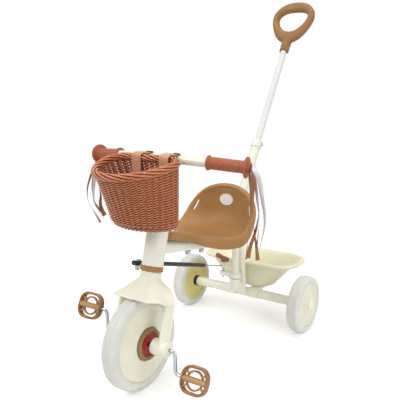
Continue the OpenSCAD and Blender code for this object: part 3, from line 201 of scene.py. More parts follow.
def roundRect(w, d, r, steps=7):
    x, y = w / 2 - r, d / 2 - r
    corners = ((x, y), (-x, y), (-x, -y), (x, -y))
    return [p for i, (a, b) in enumerate(corners) for p in roundEdge(a, b, r, 90 * i, 90 * i + 90, steps)]


# modifiers are worked into the mesh, so the piece is what it looks like
def settle(piece):
    bpy.context.view_layer.update()
    shaped = bpy.data.meshes.new_from_object(piece.evaluated_get(bpy.context.evaluated_depsgraph_get()))
    piece.modifiers.clear()
    piece.data = shaped
    shaped.name = piece.name
    shaped.shade_smooth()
    return piece


def modify(piece, name, kind, **settings):
    modifier = piece.modifiers.new(name, kind)
    for setting, value in settings.items():
        setattr(modifier, setting, value)


# several shells flow into one moulding
def mould(piece, voxel, rounds):
    modify(piece, "mould", "REMESH", mode="VOXEL", voxel_size=voxel * mm)
    modify(piece, "soften", "SMOOTH", factor=0.5, iterations=rounds)
    return settle(piece)


def cut(piece, cutter):
    modify(piece, "cut", "BOOLEAN", operation="DIFFERENCE", solver="EXACT", object=cutter)
    settle(piece)
    bpy.data.objects.remove(cutter)


def dress(piece, finish):
    piece.data.materials.clear()
    piece.data.materials.append(finishes[finish])


def keep(piece, body, slotName, finish, *stands):
    dress(piece, finish)
    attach(piece, body)
    if stands:
        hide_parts(*stands)
    return piece


# Finishes
plainLook = dict(stretch=(1, 1, 1), mottleScale=14, mottleFrom=0.3, mottleTo=0.7, wornHighlightFrom=0.53, wornHighlightTo=0.62,
                 wornHighlightShare=0.35, glossScale=40, bump=0.05, bumpHeight=0.0006, set={})
paint = dict(rough=(0.24, 0.34), grainScale=420, set={"Coat Weight": 0.35, "Coat Roughness": 0.12})
pale = dict(rough=(0.3, 0.4), grainScale=520,
            set={"Subsurface Weight": 0.08, "Subsurface Radius": (0.004, 0.003, 0.0015)})
caramel = dict(rough=(0.42, 0.55), grainScale=1100, bump=0.1, mottleScale=9)
satin = dict(rough=(0.4, 0.52), grainScale=900, bump=0.08)
looks = {
    "creamPaint": dict(paint, base="#f0efe1", deep="#e9e8d5", wornHighlight="#f6f5ea"),
    "paleGreyPaint": dict(paint, base="#dfe2dd", deep="#d5d9d3", wornHighlight="#eceeea"),
    "creamPlastic": dict(pale, base="#f2f1de", deep="#eae9d1", wornHighlight="#f7f6ea"),
    "bucketPlastic": dict(pale, base="#f2efd4", deep="#eae6c6", wornHighlight="#f8f6e4"),
    "discPlastic": dict(pale, base="#edebd8", deep="#e4e1c9", wornHighlight="#f4f2e2", rough=(0.32, 0.44), grainScale=480),
    # the rear discs' recessed inner face: the same plastic, painted yellower for shade and bounce light
    "discBounceShade": dict(base="#e3d68e", deep="#d8c878", wornHighlight="#ece2a8", rough=(0.36, 0.48), grainScale=480),
    "foamTyre": dict(base="#e2e3dc", deep="#d6d7cf", wornHighlight="#ebece6", rough=(0.6, 0.75), grainScale=900, bump=0.14,
                     mottleScale=30),
    "caramelPlastic": dict(caramel, base="#ab7c44", deep="#9b6d37", wornHighlight="#bb8f5a"),
    "handlePlastic": dict(caramel, base="#9a6c38", deep="#8a5e2d", wornHighlight="#ab7f4c"),
    # the pedals' lighter raised edges are a painted highlight
    "pedalPlastic": dict(base="#a2703a", deep="#7d4f22", wornHighlight="#cfa36c", wornHighlightShare=0.75, rough=(0.26, 0.38),
                         grainScale=900, mottleScale=30, bump=0.06),
    # a darker, olive copy of the caramel plastic: painted shade of the recess wall round the hub
    "hubShadedPlastic": dict(satin, base="#9a7a4a", deep="#87683a", wornHighlight="#ac8d5e"),
    "gripRubber": dict(base="#a85a33", deep="#954824", wornHighlight="#b87048", rough=(0.4, 0.54), grainScale=1300, bump=0.14,
                       mottleScale=20),
    # canes: the hollow tone is painted shade between rows and strands, and the lighter raised crowns are partly a
    # painted highlight
    "wicker": dict(base="#e0824a", deep="#bc5b2b", wornHighlight="#eeb082", hollowShade="#5e250d", wornHighlightShare=0.4,
                   rough=(0.22, 0.36), mottleScale=5, mottleFrom=0.36, mottleTo=0.66, stretch=(14, 14, 60),
                   grainScale=26, bump=0.25),
    "strapLeather": dict(base="#d8a47c", deep="#c48d65", wornHighlight="#e2b896", rough=(0.55, 0.72), grain="hide",
                         grainScale=900, bump=0.22, mottleScale=24),
    "strapThread": dict(base="#d9bd92", deep="#c9a878", rough=(0.6, 0.8), grainScale=2500, bump=0.3),
    "tanRibbon": dict(base="#a46e42", deep="#8a562e", rough=(0.3, 0.42), stretch=(1, 1, 0.1), grainScale=2200,
                      mottleScale=120, bump=0.12, set={"Sheen Weight": 0.08, "Anisotropic": 0.4}),
    "paleRibbon": dict(base="#f3f4f5", deep="#dfe2e6", rough=(0.16, 0.28), stretch=(1, 1, 0.1), grainScale=1800,
                       mottleScale=140, bump=0.1, set={"Sheen Weight": 0.1, "Transmission Weight": 0.15, "IOR": 1.3}),
    "chrome": dict(base="#b9bec4", deep="#a9aeb4", rough=(0.07, 0.14), grainScale=300, bump=0.015,
                   set={"Metallic": 1.0}),
    "zinc": dict(base="#bfc1c4", deep="#a9abae", rough=(0.26, 0.4), stretch=(1, 1, 0.2), grainScale=900, bump=0.06,
                 set={"Metallic": 1.0}),
    "blackPlastic": dict(satin, base="#1d1c1c", deep="#131313", wornHighlight="#343232", rough=(0.34, 0.48)),
    "redPlastic": dict(base="#c8240a", deep="#941606", wornHighlight="#d64a30", rough=(0.42, 0.52), grainScale=600),
    "knobPlastic": dict(satin, base="#9a6238", deep="#86512b", wornHighlight="#9c6238"),
    "badgePlate": dict(base="#f1f1ee", deep="#ebebe7", rough=(0.2, 0.28), grainScale=500, bump=0.03,
                       set={"Coat Weight": 0.3}),
    "darkMetal": dict(base="#4a4644", deep="#393533", rough=(0.3, 0.42), grainScale=700, set={"Metallic": 0.9}),
}


# a written colour in linear light
def shade(code):
    parts = [int(code[i:i + 2], 16) / 255 for i in (1, 3, 5)]
    return tuple(c / 12.92 if c <= 0.04045 else ((c + 0.055) / 1.055) ** 2.4 for c in parts) + (1.0,)


# values are set on a node's sockets, and other nodes' outputs are linked to them
def plug(tree, node, inputs):
    for socket, value in inputs.items():
        if isinstance(value, bpy.types.NodeSocket):
            tree.links.new(value, node.inputs[socket])
        else:
            node.inputs[socket].default_value = value


def addNode(tree, kind, inputs=None, **settings):
    node = tree.nodes.new("ShaderNode" + kind)
    for setting, value in settings.items():
        setattr(node, setting, value)
    plug(tree, node, inputs or {})
    return node


# grain, mottling and a lighter edge tone over any of the trike's surfaces: worn edges, and on the pedals and canes a
# painted highlight
def newFinish(name, own):
    look = dict(plainLook, **own)
    finish = bpy.data.materials.new(name)
    finish.use_nodes = True
    tree = finish.node_tree
    place = addNode(tree, "TexCoord").outputs["Object"]
    place = addNode(tree, "Mapping", {"Vector": place, "Scale": look["stretch"]}).outputs["Vector"]

    def noise(scale, detail, rough=0.55):
        cloud = {"Vector": place, "Scale": scale, "Detail": detail, "Roughness": rough}
        return addNode(tree, "TexNoise", cloud).outputs["Fac"]

    def tint(under, code, share):
        layers = {"A": under, "B": shade(code), "Factor": share}
        return addNode(tree, "Mix", layers, data_type="RGBA").outputs["Result"]

    # broad mottling between the tones
    ramp = addNode(tree, "ValToRGB", {"Fac": noise(look["mottleScale"], 4)})
    low, high = ramp.color_ramp.elements
    low.position, high.position = look["mottleFrom"], look["mottleTo"]
    low.color, high.color = shade(look["deep"]), shade(look["base"])
    tone = ramp.outputs["Color"]
    if "wornHighlight" in look:  # raised edges lighter: rubbed wear, and on glossy pedals and canes a painted highlight
        raised = addNode(tree, "NewGeometry").outputs["Pointiness"]
        edges = addNode(tree, "MapRange", {"Value": raised, "From Min": look["wornHighlightFrom"],
                                           "From Max": look["wornHighlightTo"], "To Max": look["wornHighlightShare"]})
        tone = tint(tone, look["wornHighlight"], edges.outputs["Result"])
    if "hollowShade" in look:  # painted shade on woven canes between their rows
        depth = addNode(tree, "Attribute", attribute_name="weaveShade")
        tone = tint(tone, look["hollowShade"], depth.outputs["Fac"])
    # gloss that wanders a little
    gloss = addNode(tree, "MapRange", {"Value": noise(look["glossScale"], 5), "To Min": look["rough"][0],
                                       "To Max": look["rough"][1]})
    # fine surface grain
    if look.get("grain") == "hide":
        height = addNode(tree, "TexVoronoi", {"Vector": place, "Scale": look["grainScale"]}).outputs["Distance"]
    else:
        height = noise(look["grainScale"], 3, 0.6)
    bump = addNode(tree, "Bump", {"Height": height, "Strength": look["bump"], "Distance": look["bumpHeight"]})
    plug(tree, tree.nodes["Principled BSDF"], look["set"])
    plug(tree, tree.nodes["Principled BSDF"], {"Base Color": tone, "Roughness": gloss.outputs["Result"],
                                               "Normal": bump.outputs["Normal"]})
    return finish


finishes = {name: newFinish(name, look) for name, look in looks.items()}
print("finishes:", len(finishes))


# CAD nodes that keep their own shape
plainNodes = {
    "creamPaint": ["head_tube", "main_tube", "pole_bearing", "down_tube", "rear_bracket", "axle_tube", "handlebar",
                   "bar_clamp", "post", "post_arm", "pole_lower"],
    "paleGreyPaint": ["pole_upper"],
    "creamPlastic": ["axle_housings", "bucket_clips", "pole_collar", "axle_caps"],
    "chrome": ["crank", "pole_button"],
    "zinc": ["rear_axle", "seat_bolts", "column_pin", "steering_column", "arm_bolt", "lock_pin"],
    "blackPlastic": ["head_bushes", "axle_bushes", "seat_spacers", "link_sleeve", "link_cap"],
}
for finish, names in plainNodes.items():
    for name in names:
        dress(nodes[name], finish)


# Camera, at the photograph's viewing angle
view = dict(place=(0.8496, -1.3467, 0.7472), tilt=76.44, turn=32.17, lens=51.17, shift=(-0.0535, 0.037), sensor=36,
            reach=100)
camera = bpy.data.objects.new("camera", bpy.data.cameras.new("camera"))
scene.collection.objects.link(camera)
camera.location = view["place"]
camera.rotation_euler = (radians(view["tilt"]), 0, radians(view["turn"]))
camera.data.lens = view["lens"]
camera.data.sensor_width = view["sensor"]
camera.data.shift_x, camera.data.shift_y = view["shift"]
camera.data.clip_end = view["reach"]
scene.camera = camera


# Ribbons hang from both grips' ends
ribbon = dict(width=11, thick=0.5, pitch=2.4, out=5, straight=0.1, steps=5)
ribbonRoutes = {
    "left": [
        [(6, -8, -14), (7, -7, -39), (7, -6, -82), (4, -9, -126), (1, -12, -169), (0, -14, -206)],
        [(10, -8, -10), (15, -4, -34), (19, -1, -72), (23, 3, -110), (21, 1, -152), (18, -2, -193)],
        [(9, -12, -12), (13, -12, -39), (13, -12, -95), (16, -9, -143), (21, -5, -184), (23, -3, -212)],
        [(13, -13, -10), (20, -10, -39), (25, -6, -95), (21, -10, -139), (12, -19, -178), (8, -23, -206)],
        [(17, -13, -8), (27, -10, -30), (32, -5, -68), (36, 0, -106), (36, 0, -140), (29, -8, -189)],
    ],
    "right": [
        [(7, 6, -14), (20, -6, -48), (30, -16, -90), (29, -15, -128), (18, -4, -160), (9, 5, -186)],
        [(9, 9, -12), (14, 6, -43), (21, -1, -88), (22, -3, -129), (15, 4, -155), (5, 15, -177)],
        [(10, 12, -10), (14, 11, -37), (15, 11, -80), (12, 13, -115), (13, 12, -145), (6, 19, -174)],
        [(13, 12, -12), (24, 7, -48), (31, 0, -94), (29, 2, -132), (20, 11, -157), (8, 23, -175)],
        [(16, 18, -10), (16, 22, -37), (16, 21, -80), (14, 23, -113), (5, 32, -139), (-4, 41, -164)],
    ],
}
ribbonWays = {"left": (1, 1, 0), "right": (-1, -1, 0)}  # the way the width runs
ribbonTones = ["tan", "pale", "tan", "tan", "pale"]
ribbonTwists = [150, -110, 190, -160, 120]  # degrees from top to end
ribbonCurl = [(1, 0.10), (0.7, 0.5), (0, 0.62), (-0.7, 0.5), (-1, 0.10), (-0.7, -0.4), (0, -0.28), (0.7, -0.4)]


def ribbonPath(sideName, k):
    along, back = barPoint(bar["grip"])
    start = Vector(steerPoint(along, back, bar["up"]))
    start += Vector((0, sin(steerLean), cos(steerLean))) * ribbon["pitch"] * (k - 2)
    sweep = bar["sweep"]
    out = Vector((cos(sweep), sin(sweep) * cos(steerLean), -sin(sweep) * sin(steerLean)))
    rows = [start, start + out * ribbon["out"]] + [start + Vector(p) for p in ribbonRoutes[sideName][k]]
    steps = ribbon["steps"]
    return [Vector(smoothRow(rows, i / steps)) for i in range(steps * (len(rows) - 1) + 1)]


def hangRibbon(sideName, side, k):
    path = [spot(side * p.x, p.y, p.z) for p in ribbonPath(sideName, k)]
    rings = []
    last = len(path) - 1
    for i, p in enumerate(path):
        t = (path[min(i + 1, last)] - path[max(i - 1, 0)]).normalized()
        n = t.cross(Vector(ribbonWays[sideName])).normalized()
        turn = Matrix.Rotation(radians(ribbonTwists[k]) * side * max(0, i / last - ribbon["straight"]), 3, t)
        w, n = turn @ n.cross(t), turn @ n
        rings.append([p + (w * a * ribbon["width"] / 2 + n * b * ribbon["thick"]) * mm for a, b in ribbonCurl])
    tone = ribbonTones[k]
    piece = loft("ribbon_%s_%d" % (sideName, k + 1), rings, caps=True)
    keep(piece, "steering", tone + "_ribbon", tone + "Ribbon", "tassel_%s_%s" % (sideName, tone))
    length = sum((b - a).length for a, b in zip(path, path[1:]))
    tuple(path[0])


for sideName, side in bothSides:
    for k in range(len(ribbonTones)):
        hangRibbon(sideName, side, k)
print("ribbons hung")


# Wicker basket on the handlebar
basket = dict(x=-11, floorShift=7, rimBack=72, rimZ=562, rimHalf=101, rimDepth=150, corner=36, tightest=5,
              rimFall=10.2, rimR=10, floorZ=403, floorHalf=88, floorDepth=94, floorReach=30, edge=16, bendShare=0.1,
              inset=3, stakes=34, rows=21, stakeR=1.7, weaverR=2.25, wave=2.8, edgeWave=2, floorWave=1.4, lift=1.2,
              perStake=6, low=0.12, high=0.94, gapShade=0.75, crossShade=0.35)


def halfOval(halfW, depth, back, corner, steps=40):
    front = [(halfW * cos(a), back - corner + (depth - corner) * sin(a)) for a in
             [pi + pi * i / steps for i in range(1, steps)]]
    return (roundEdge(halfW - corner, back - corner, corner, 0, 90, steps // 4)
            + roundEdge(corner - halfW, back - corner, corner, 90, 180, steps // 4) + front)


# points of the basket's wall, evenly spaced round it, at a share of its height, moved out and up
def basketRing(h, out, up, count):
    b = basket
    line = halfOval(mix(b["floorHalf"], b["rimHalf"], h) + out, mix(b["floorDepth"], b["rimDepth"], h) + 2 * out,
                    mix(b["rimBack"] + b["rimR"] / 5, b["rimBack"], h) + out, max(b["corner"] + out, b["tightest"]))
    runs = [0]
    for p, q in zip(line, line[1:] + line[:1]):
        runs.append(runs[-1] + hypot(q[0] - p[0], q[1] - p[1]))
    points = []
    j = 0
    for i in range(count):
        want = runs[-1] * i / count
        while runs[j + 1] < want:
            j += 1
        f = (want - runs[j]) / (runs[j + 1] - runs[j])
        p, q = line[j], line[(j + 1) % len(line)]
        x, y = mix(p[0], q[0], f), mix(p[1], q[1], f)
        top = b["rimZ"] + (y - b["rimBack"]) * tan(radians(b["rimFall"]))
        points.append(spot(b["x"] + b["floorShift"] * (1 - h) + x, y, mix(b["floorZ"], top, h) + up))
    return points


# the wall's line from the middle of the floor to the rim: share of height, out, up
def basketLine(u):
    edge, inset = basket["edge"], basket["inset"]
    if u < 0:
        return 0, -edge + u, inset
    if u < 1:
        a = u * pi / 2
        return 0, edge * (sin(a) - 1) - inset * (u * u), edge * (1 - cos(a)) + inset * (1 - u)
    h = u - 1
    return h, -inset, edge * max(0, 1 - h / basket["bendShare"])


# a pair of canes that twist about each other, one in front of each stake and one behind
def twine(shells, shadeValues, u, phase, wave):
    count = basket["stakes"] * basket["perStake"]
    h, out, up = basketLine(u)
    inner, outer = basketRing(h, out - 1, up, count), basketRing(h, out + 1, up, count)
    rise = basketRing(*basketLine(u + 0.01), count)
    for strand in (0, 1):
        points, crossings = [], []
        for i in range(count):
            middle = (inner[i] + outer[i]) / 2
            climb = (rise[i] - middle).normalized()
            along = (outer[(i + 1) % count] - outer[i - 1]).normalized()
            off = climb.cross(along).normalized()
            turn = pi * (i / basket["perStake"] - 0.5 + phase + strand)
            points.append(middle - off * wave * mm * cos(turn) + climb * basket["lift"] * mm * sin(turn))
            crossings.append((off, sin(turn) ** 2))
        rings = tubeRings(points, basket["weaverR"] * mm, 8, closed=True)
        # painted shade between the rows, and a little where the canes cross
        for ring, p, (off, cross) in zip(rings, points, crossings):
            for v in ring:
                aside = min(1, (1 - abs((v - p).normalized().dot(off))) / basket["gapShade"])
                shadeValues.append(max(aside, basket["crossShade"] * cross))
        shells.rings(rings, loop=True)


# wicker pieces carry painted shade values for the finish's hollow tone
def keepWicker(shells, name, shadeValues, *stands):
    piece = shells.make(name)
    if shadeValues:
        piece.data.attributes.new("weaveShade", "FLOAT", "POINT").data.foreach_set("value", shadeValues)
    keep(piece, "steering", "wicker", "wicker", *stands)


# rows of the floor, its round edge and the wall: place on the line, phase, wave
weaveRows = [(5 * j - basket["floorReach"], j % 2, basket["floorWave"]) for j in range(6)]
weaveRows += [(0.06 + 0.25 * j, j % 2, basket["edgeWave"]) for j in range(4)] + [(1.06, 0, basket["wave"])]
weaveRows += [(1 + mix(basket["low"], basket["high"], j / (basket["rows"] - 1)), (j + 1) % 2, basket["wave"])
              for j in range(basket["rows"])]
weavers, weaveShadeValues = Shells(), []
for row in weaveRows:
    twine(weavers, weaveShadeValues, *row)
keepWicker(weavers, "basket_weavers", weaveShadeValues, "basket")

stakes = Shells()
stakeLine = [6 * i - basket["floorReach"] for i in range(6)] + [0.25, 0.5, 0.75]
stakeLine += [1 + 0.1 * i for i in range(10)] + [1.97]
stakeRings = [basketRing(*basketLine(u), 2 * basket["stakes"]) for u in stakeLine]
for i in range(basket["stakes"]):
    stakes.rings(tubeRings([ring[2 * i + 1] for ring in stakeRings], basket["stakeR"] * mm, 6), caps=True)
keepWicker(stakes, "basket_stakes", None)

# rolled border: long strands lie round the rim at a slant
border = dict(strands=7, turns=3, strandR=2.9, layR=6.7, count=240, shadeFrom=0.9, shadeRun=0.8)
rim, rimShadeValues = Shells(), []
middle, aside = (basketRing(1, grow - basket["inset"], 0, border["count"]) for grow in (0, 1))
for s in range(border["strands"]):
    points = []
    for i, p in enumerate(middle):
        out = (aside[i] - p).normalized()
        along = (middle[(i + 1) % len(middle)] - middle[i - 1]).normalized()
        up = along.cross(out).normalized()
        a = 2 * pi * (border["turns"] * i / len(middle) + s / border["strands"])
        points.append(p + (out * cos(a) + up * sin(a)) * border["layR"] * mm)
    rings = tubeRings(points, border["strandR"] * mm, 8, closed=True)
    # painted shade on the strands' sides that face into the roll
    for ring, p, core in zip(rings, points, middle):
        for v in ring:
            facing = (v - p).normalized().dot((p - core).normalized())
            rimShadeValues.append(min(1, max(0, (border["shadeFrom"] - facing) / border["shadeRun"])))
    rim.rings(rings, loop=True)
keepWicker(rim, "basket_border", rimShadeValues)
print("basket woven")


# Leather straps hold the basket to the bar
strap = dict(width=28, thick=2.4, x=41, shift=10, drop=62, sewn=30, gap=0.2, rimMid=69, rounding=1.2)
stitch = dict(pitch=2.2, inset=3.2, halfW=0.45, lift=0.15, halfT=0.28, rounding=0.2)
buckle = dict(w=15, d=10, corner=2, wire=1.3, prong=0.8, aside=7, fwd=2, bow=0.18)
barY, barZ = steerPoint(0, -bar["fwd"], bar["up"])[1:]


def strapLine():
    half = strap["thick"] / 2
    r = bar["r"] + strap["gap"] + half
    over = basket["rimR"] + half + strap["gap"]
    inY = strap["rimMid"] - basket["rimR"] - half - strap["gap"] / 2
    rows = [(inY, basket["rimZ"] - down) for down in (strap["drop"], strap["sewn"], 0)]
    for a in [radians(i) for i in range(150, 60, -15)]:  # over the border
        rows.append((strap["rimMid"] + (basket["rimR"] + strap["thick"]) * cos(a), basket["rimZ"] + over * sin(a)))
    for a in [radians(i) for i in range(90, -160, -15)]:  # round the bar
        rows.append((barY + r * cos(a), barZ + r * sin(a)))
    return rows


def strapBand(shells, line, x, halfW, lift, halfT, rounding):
    edge = [(halfW - rounding, halfT), (halfW - rounding / 3, halfT * 0.8), (halfW, 0),
            (halfW - rounding / 3, -halfT * 0.8), (halfW - rounding, -halfT)]
    section = edge + [(-across, -up) for across, up in edge]
    rings = []
    last = len(line) - 1
    for i, (y, z) in enumerate(line):
        (y0, z0), (y1, z1) = line[max(i - 1, 0)], line[min(i + 1, last)]
        n = hypot(y1 - y0, z1 - z0)
        ny, nz = (z0 - z1) / n, (y1 - y0) / n
        rings.append([spot(x + across, y + ny * (up + lift), z + nz * (up + lift)) for across, up in section])
    shells.rings(rings, caps=True)


for sideName, side in bothSides:
    x = basket["x"] + strap["shift"] + side * strap["x"]
    halfW, halfT = strap["width"] / 2, strap["thick"] / 2
    line = strapLine()
    band = Shells()
    strapBand(band, line, x, halfW, 0, halfT, strap["rounding"])
    keep(band.make("strap_%s_band" % sideName), "steering", "strap_leather", "strapLeather", "strap_" + sideName)
    # two rows of stitches on each face
    stitches = Shells()
    marks = []
    for (y0, z0), (y1, z1) in zip(line, line[1:]):
        steps = max(1, int(hypot(y1 - y0, z1 - z0) / stitch["pitch"]))
        marks += [(mix(y0, y1, i / steps), mix(z0, z1, i / steps)) for i in range(steps)]
    for i in range(1, len(marks) - 2, 2):
        for edge in (-1, 1):
            for face in (-1, 1):
                strapBand(stitches, marks[i:i + 2], x + edge * (halfW - stitch["inset"]), stitch["halfW"],
                          face * (halfT + stitch["lift"]), stitch["halfT"], stitch["rounding"])
    keep(stitches.make("strap_%s_stitches" % sideName), "steering", "strap_leather", "strapThread")
    # small dark buckle on top of the bar
    metal = Shells()
    top = barZ + bar["r"] + strap["gap"] + strap["thick"] + buckle["wire"]
    midX, y = x + buckle["aside"], barY - buckle["fwd"]
    loop = [spot(midX + a, y + b, top - abs(b) * buckle["bow"]) for a, b in
            roundRect(buckle["w"], buckle["d"], buckle["corner"], 3)]
    metal.rings(tubeRings(loop, buckle["wire"] * mm, 10, closed=True), loop=True)
    prong = [spot(midX + a, y, top + lift) for a, lift in ((-7.5, 0.6), (0, 0.9), (7.6, 0.2))]
    metal.rings(tubeRings(prong, buckle["prong"] * mm, 8), caps=True)
    keep(metal.make("strap_%s_buckle" % sideName), "steering", "steel", "darkMetal")
print("straps sewn")


# Seat moulding
seat = dict(y=92, length=310, width=224, panZ=323, noseRise=58, backRise=125, sideLift=20, sideWrap=36, skirt=33,
            edge=8, edgeDeep=1.2, wall=4, headGap=27.6, rowSteps=6, topSteps=18, halfCols=14, backFrom=7.5,
            backShare=0.96, backRound=0.55, topFrom=9, topRun=5, topDrop=0.05, lipTurn=12.4, bevel=1.2)
slotCut = dict(row=9.6, aside=0.88, length=34, width=5, deep=22)
# each row: length, nose's rise, back's rise, half width, sides' lift, sides' wrap, skirt
seatShares = [
    [0.00, 1.00, 0.00, 0.21, 0.0, 0.00, 0.62],
    [0.17, 0.73, 0.00, 0.22, 0.0, 0.00, 0.62],
    [0.32, 0.47, 0.00, 0.29, 0.0, 0.00, 0.70],
    [0.45, 0.25, 0.00, 0.47, 0.0, 0.00, 0.85],
    [0.57, 0.11, 0.00, 0.75, 0.2, 0.00, 1.00],
    [0.68, 0.03, 0.00, 0.95, 0.6, 0.00, 1.00],
    [0.79, 0.00, 0.01, 0.97, 1.2, 0.15, 0.90],
    [0.88, 0.00, 0.06, 0.96, 1.4, 0.60, 0.70],
    [0.945, 0.00, 0.17, 0.96, 1.0, 0.92, 0.45],
    [0.98, 0.00, 0.33, 0.95, 0.5, 0.95, 0.35],
    [0.995, 0.00, 0.53, 0.91, 0.1, 0.75, 0.35],
    [1.00, 0.00, 0.72, 0.80, 0.0, 0.45, 0.35],
    [1.00, 0.00, 0.88, 0.62, 0.0, 0.25, 0.35],
    [1.00, 0.00, 0.97, 0.40, 0.0, 0.10, 0.35],
    [0.99, 0.00, 0.997, 0.12, 0.0, 0.00, 0.35],
]
seatLast = len(seatShares) - 1


# the back's top closes in a smooth curve, a little lower to leave room for its rolled lip
def seatRise(t):
    f = max(0, min(1, (t - seat["topFrom"]) / seat["topRun"]))
    return smoothRow(seatShares, t)[2] * (1 - seat["topDrop"] * f * f * (3 - 2 * f))


def seatHalf(t):
    r = smoothRow(seatShares, t)
    share = r[3]
    if t > seat["backFrom"]:
        share = seat["backShare"] * max(0, 1 - min(1, r[2]) ** 3) ** seat["backRound"]
    return (0 if t >= seatLast else share) * seat["width"] / 2


def seatLine(t):
    r = smoothRow(seatShares, t)
    return seat["y"] + r[0] * seat["length"], seat["panZ"] + r[1] * seat["noseRise"] + seatRise(t) * seat["backRise"]


def seatUp(t):
    a, b = seatLine(max(t - 0.2, 0)), seatLine(min(t + 0.2, seatLast))
    n = hypot(b[0] - a[0], b[1] - a[1])
    return Vector((0, (a[1] - b[1]) / n, (b[0] - a[0]) / n))


def seatSpot(t, v):
    r = smoothRow(seatShares, t)
    y, z = seatLine(t)
    x = v * seatHalf(t)
    y = y - r[5] * seat["sideWrap"] * v * v
    z = z + r[4] * seat["sideLift"] * v * v * abs(v)
    # the nose hollows round the head tube
    back = y * cos(steerLean) - (z - axleUp) * sin(steerLean)
    if 0 < hypot(x, back) < seat["headGap"]:
        up = y * sin(steerLean) + (z - axleUp) * cos(steerLean)
        return steerSpot(x, sqrt(max(seat["headGap"] ** 2 - x * x, 0)), up)
    return spot(x, y, z)


# the rolled lip and the skirt on one side, square to the outline
def seatLip(t, side):
    up = seatUp(min(t, seat["lipTurn"]))  # the lip keeps one lean across the back's top
    if t >= seatLast:
        away = Vector((0, up.z, -up.y))
    else:
        run = seatSpot(min(t + 0.03, seatLast), side) - seatSpot(max(t - 0.03, 0), side)
        away = run.cross(up).normalized() * side
    edge, deep = seat["edge"], seat["edge"] * seat["edgeDeep"]
    skirt = smoothRow(seatShares, t)[6] * seat["skirt"]
    lip = [(edge * sin(a), deep * (1 - cos(a))) for a in [radians(18 * i) for i in range(1, 6)]]
    lip += [(edge, mix(deep, skirt, i / 3)) for i in (1, 2, 3)]
    return [seatSpot(t, side) + (away * out - up * down) * mm for out, down in lip]


def seatRow(t):
    cols = seat["halfCols"]
    return (list(reversed(seatLip(t, -1))) + [seatSpot(t, i / cols) for i in range(-cols, cols + 1)] + seatLip(t, 1))


# a slot with round ends through the seat's back
def seatSlot(t, v):
    c, up = seatSpot(t, v), seatUp(t)
    along = (seatSpot(t + 0.3, v) - seatSpot(t - 0.3, v)).normalized()
    across = along.cross(up).normalized()
    r = slotCut["width"] / 2
    reach = slotCut["length"] / 2 - r
    outline = roundEdge(0, reach, r, 0, 180, 8) + roundEdge(0, -reach, r, 180, 360, 8)
    return loft("slot", [[c + (across * a + along * b + up * deep) * mm for a, b in outline]
                         for deep in (-slotCut["deep"], slotCut["deep"])], caps=True)


seatTurns = [i / seat["rowSteps"] for i in range(12 * seat["rowSteps"] + 1)]
# rows crowd together where the top closes
seatTurns += [12 + 2 * (1 - (1 - i / seat["topSteps"]) ** 2) for i in range(1, seat["topSteps"] + 1)]
seatPiece = loft("seat_moulding", [seatRow(t) for t in seatTurns], openRing=True)
weld = bmesh.new()
weld.from_mesh(seatPiece.data)
bmesh.ops.remove_doubles(weld, verts=weld.verts, dist=0.00002)
bmesh.ops.recalc_face_normals(weld, faces=weld.faces)
weld.to_mesh(seatPiece.data)
weld.free()
# the pan faces up
if sum((f.normal.z for f in seatPiece.data.polygons if f.center.z < 0.33 and abs(f.center.x) < 0.05)) < 0:
    seatPiece.data.flip_normals()
modify(seatPiece, "wall", "SOLIDIFY", thickness=seat["wall"] * mm, offset=-1)
modify(seatPiece, "rounded", "BEVEL", width=seat["bevel"] * mm, segments=2, limit_method="ANGLE",
       angle_limit=radians(50))
settle(seatPiece)
for side in (-1, 1):
    cut(seatPiece, seatSlot(slotCut["row"], side * slotCut["aside"]))
keep(seatPiece, "frame", "caramel_plastic", "caramelPlastic", "seat")

# blank oval plate, a little domed
plate = dict(width=44, height=34, row=10.6, gap=0.1, turns=60)
plateY, plateZ = seatLine(plate["row"])
plateUp = seatUp(plate["row"])
sag = seat["sideWrap"] * (plate["width"] / seat["width"]) ** 2 + plate["gap"]
plateRings = []
for grow, lift in ((1, 0), (1, 0.7), (0.975, 1.1), (0.94, 1.1), (0.91, 0.8), (0.6, 1.3), (0.25, 1.6)):
    ring = []
    for a in circle(plate["turns"]):
        along = plate["height"] / 2 * grow * sin(a)
        ring.append(spot(plate["width"] / 2 * grow * cos(a), plateY + plateUp.y * (sag + lift) + plateUp.z * along,
                         plateZ + plateUp.z * (sag + lift) - plateUp.y * along))
    plateRings.append(ring)
keep(loft("seat_plate", plateRings, 40, caps=True), "frame", "badge_plastic", "badgePlate", "seat_badge")
print("seat moulded")


# Fork and mudguard, one moulding
fork = dict(neckR=26, neckUp=150, collarUp=175, neckIn=12, legX=70, legT=20, legD=38, legSides=28, legSteps=6,
            footUp=6, guardHalf=84, reach=35, guardBack=72, guardUp=126, guardT=4.5, flare=0.3, rows=18, turns=88,
            voxel=1.9, soften=7)
legShares = [[1.00, 0.00, 0.00, 1.0], [1.00, 0.26, 0.22, 1.0], [1.00, 0.54, 0.48, 1.0], [0.97, 0.76, 0.68, 1.0],
             [0.86, 0.88, 0.78, 1.0], [0.64, 0.95, 0.84, 1.0], [0.40, 1.08, 0.95, 0.9]]
guardShares = [[0.00, -1.00, 0.985], [0.24, -1.02, 1.000], [0.43, -1.03, 1.012], [0.60, -0.97, 0.985],
               [0.72, -0.60, 0.965], [0.86, -0.15, 0.925], [0.96, 0.08, 0.870], [1.00, 0.30, 0.860],
               [0.95, 0.52, 0.900], [0.78, 0.74, 0.960], [0.46, 0.92, 1.020], [0.00, 1.00, 1.040]]
neckRows = [(15, 144), (22, 147), (26, 151), (26, 160), (26, 172), (25.6, 174), (24.8, 174.8)]


# a table's row for one half of a loop, mirrored for the other
def mirroredRow(shares, i, turns):
    half = turns / 2
    k, side = (i, 1) if i <= half else (turns - i, -1)
    return smoothRow(shares, k * (len(shares) - 1) / half), side


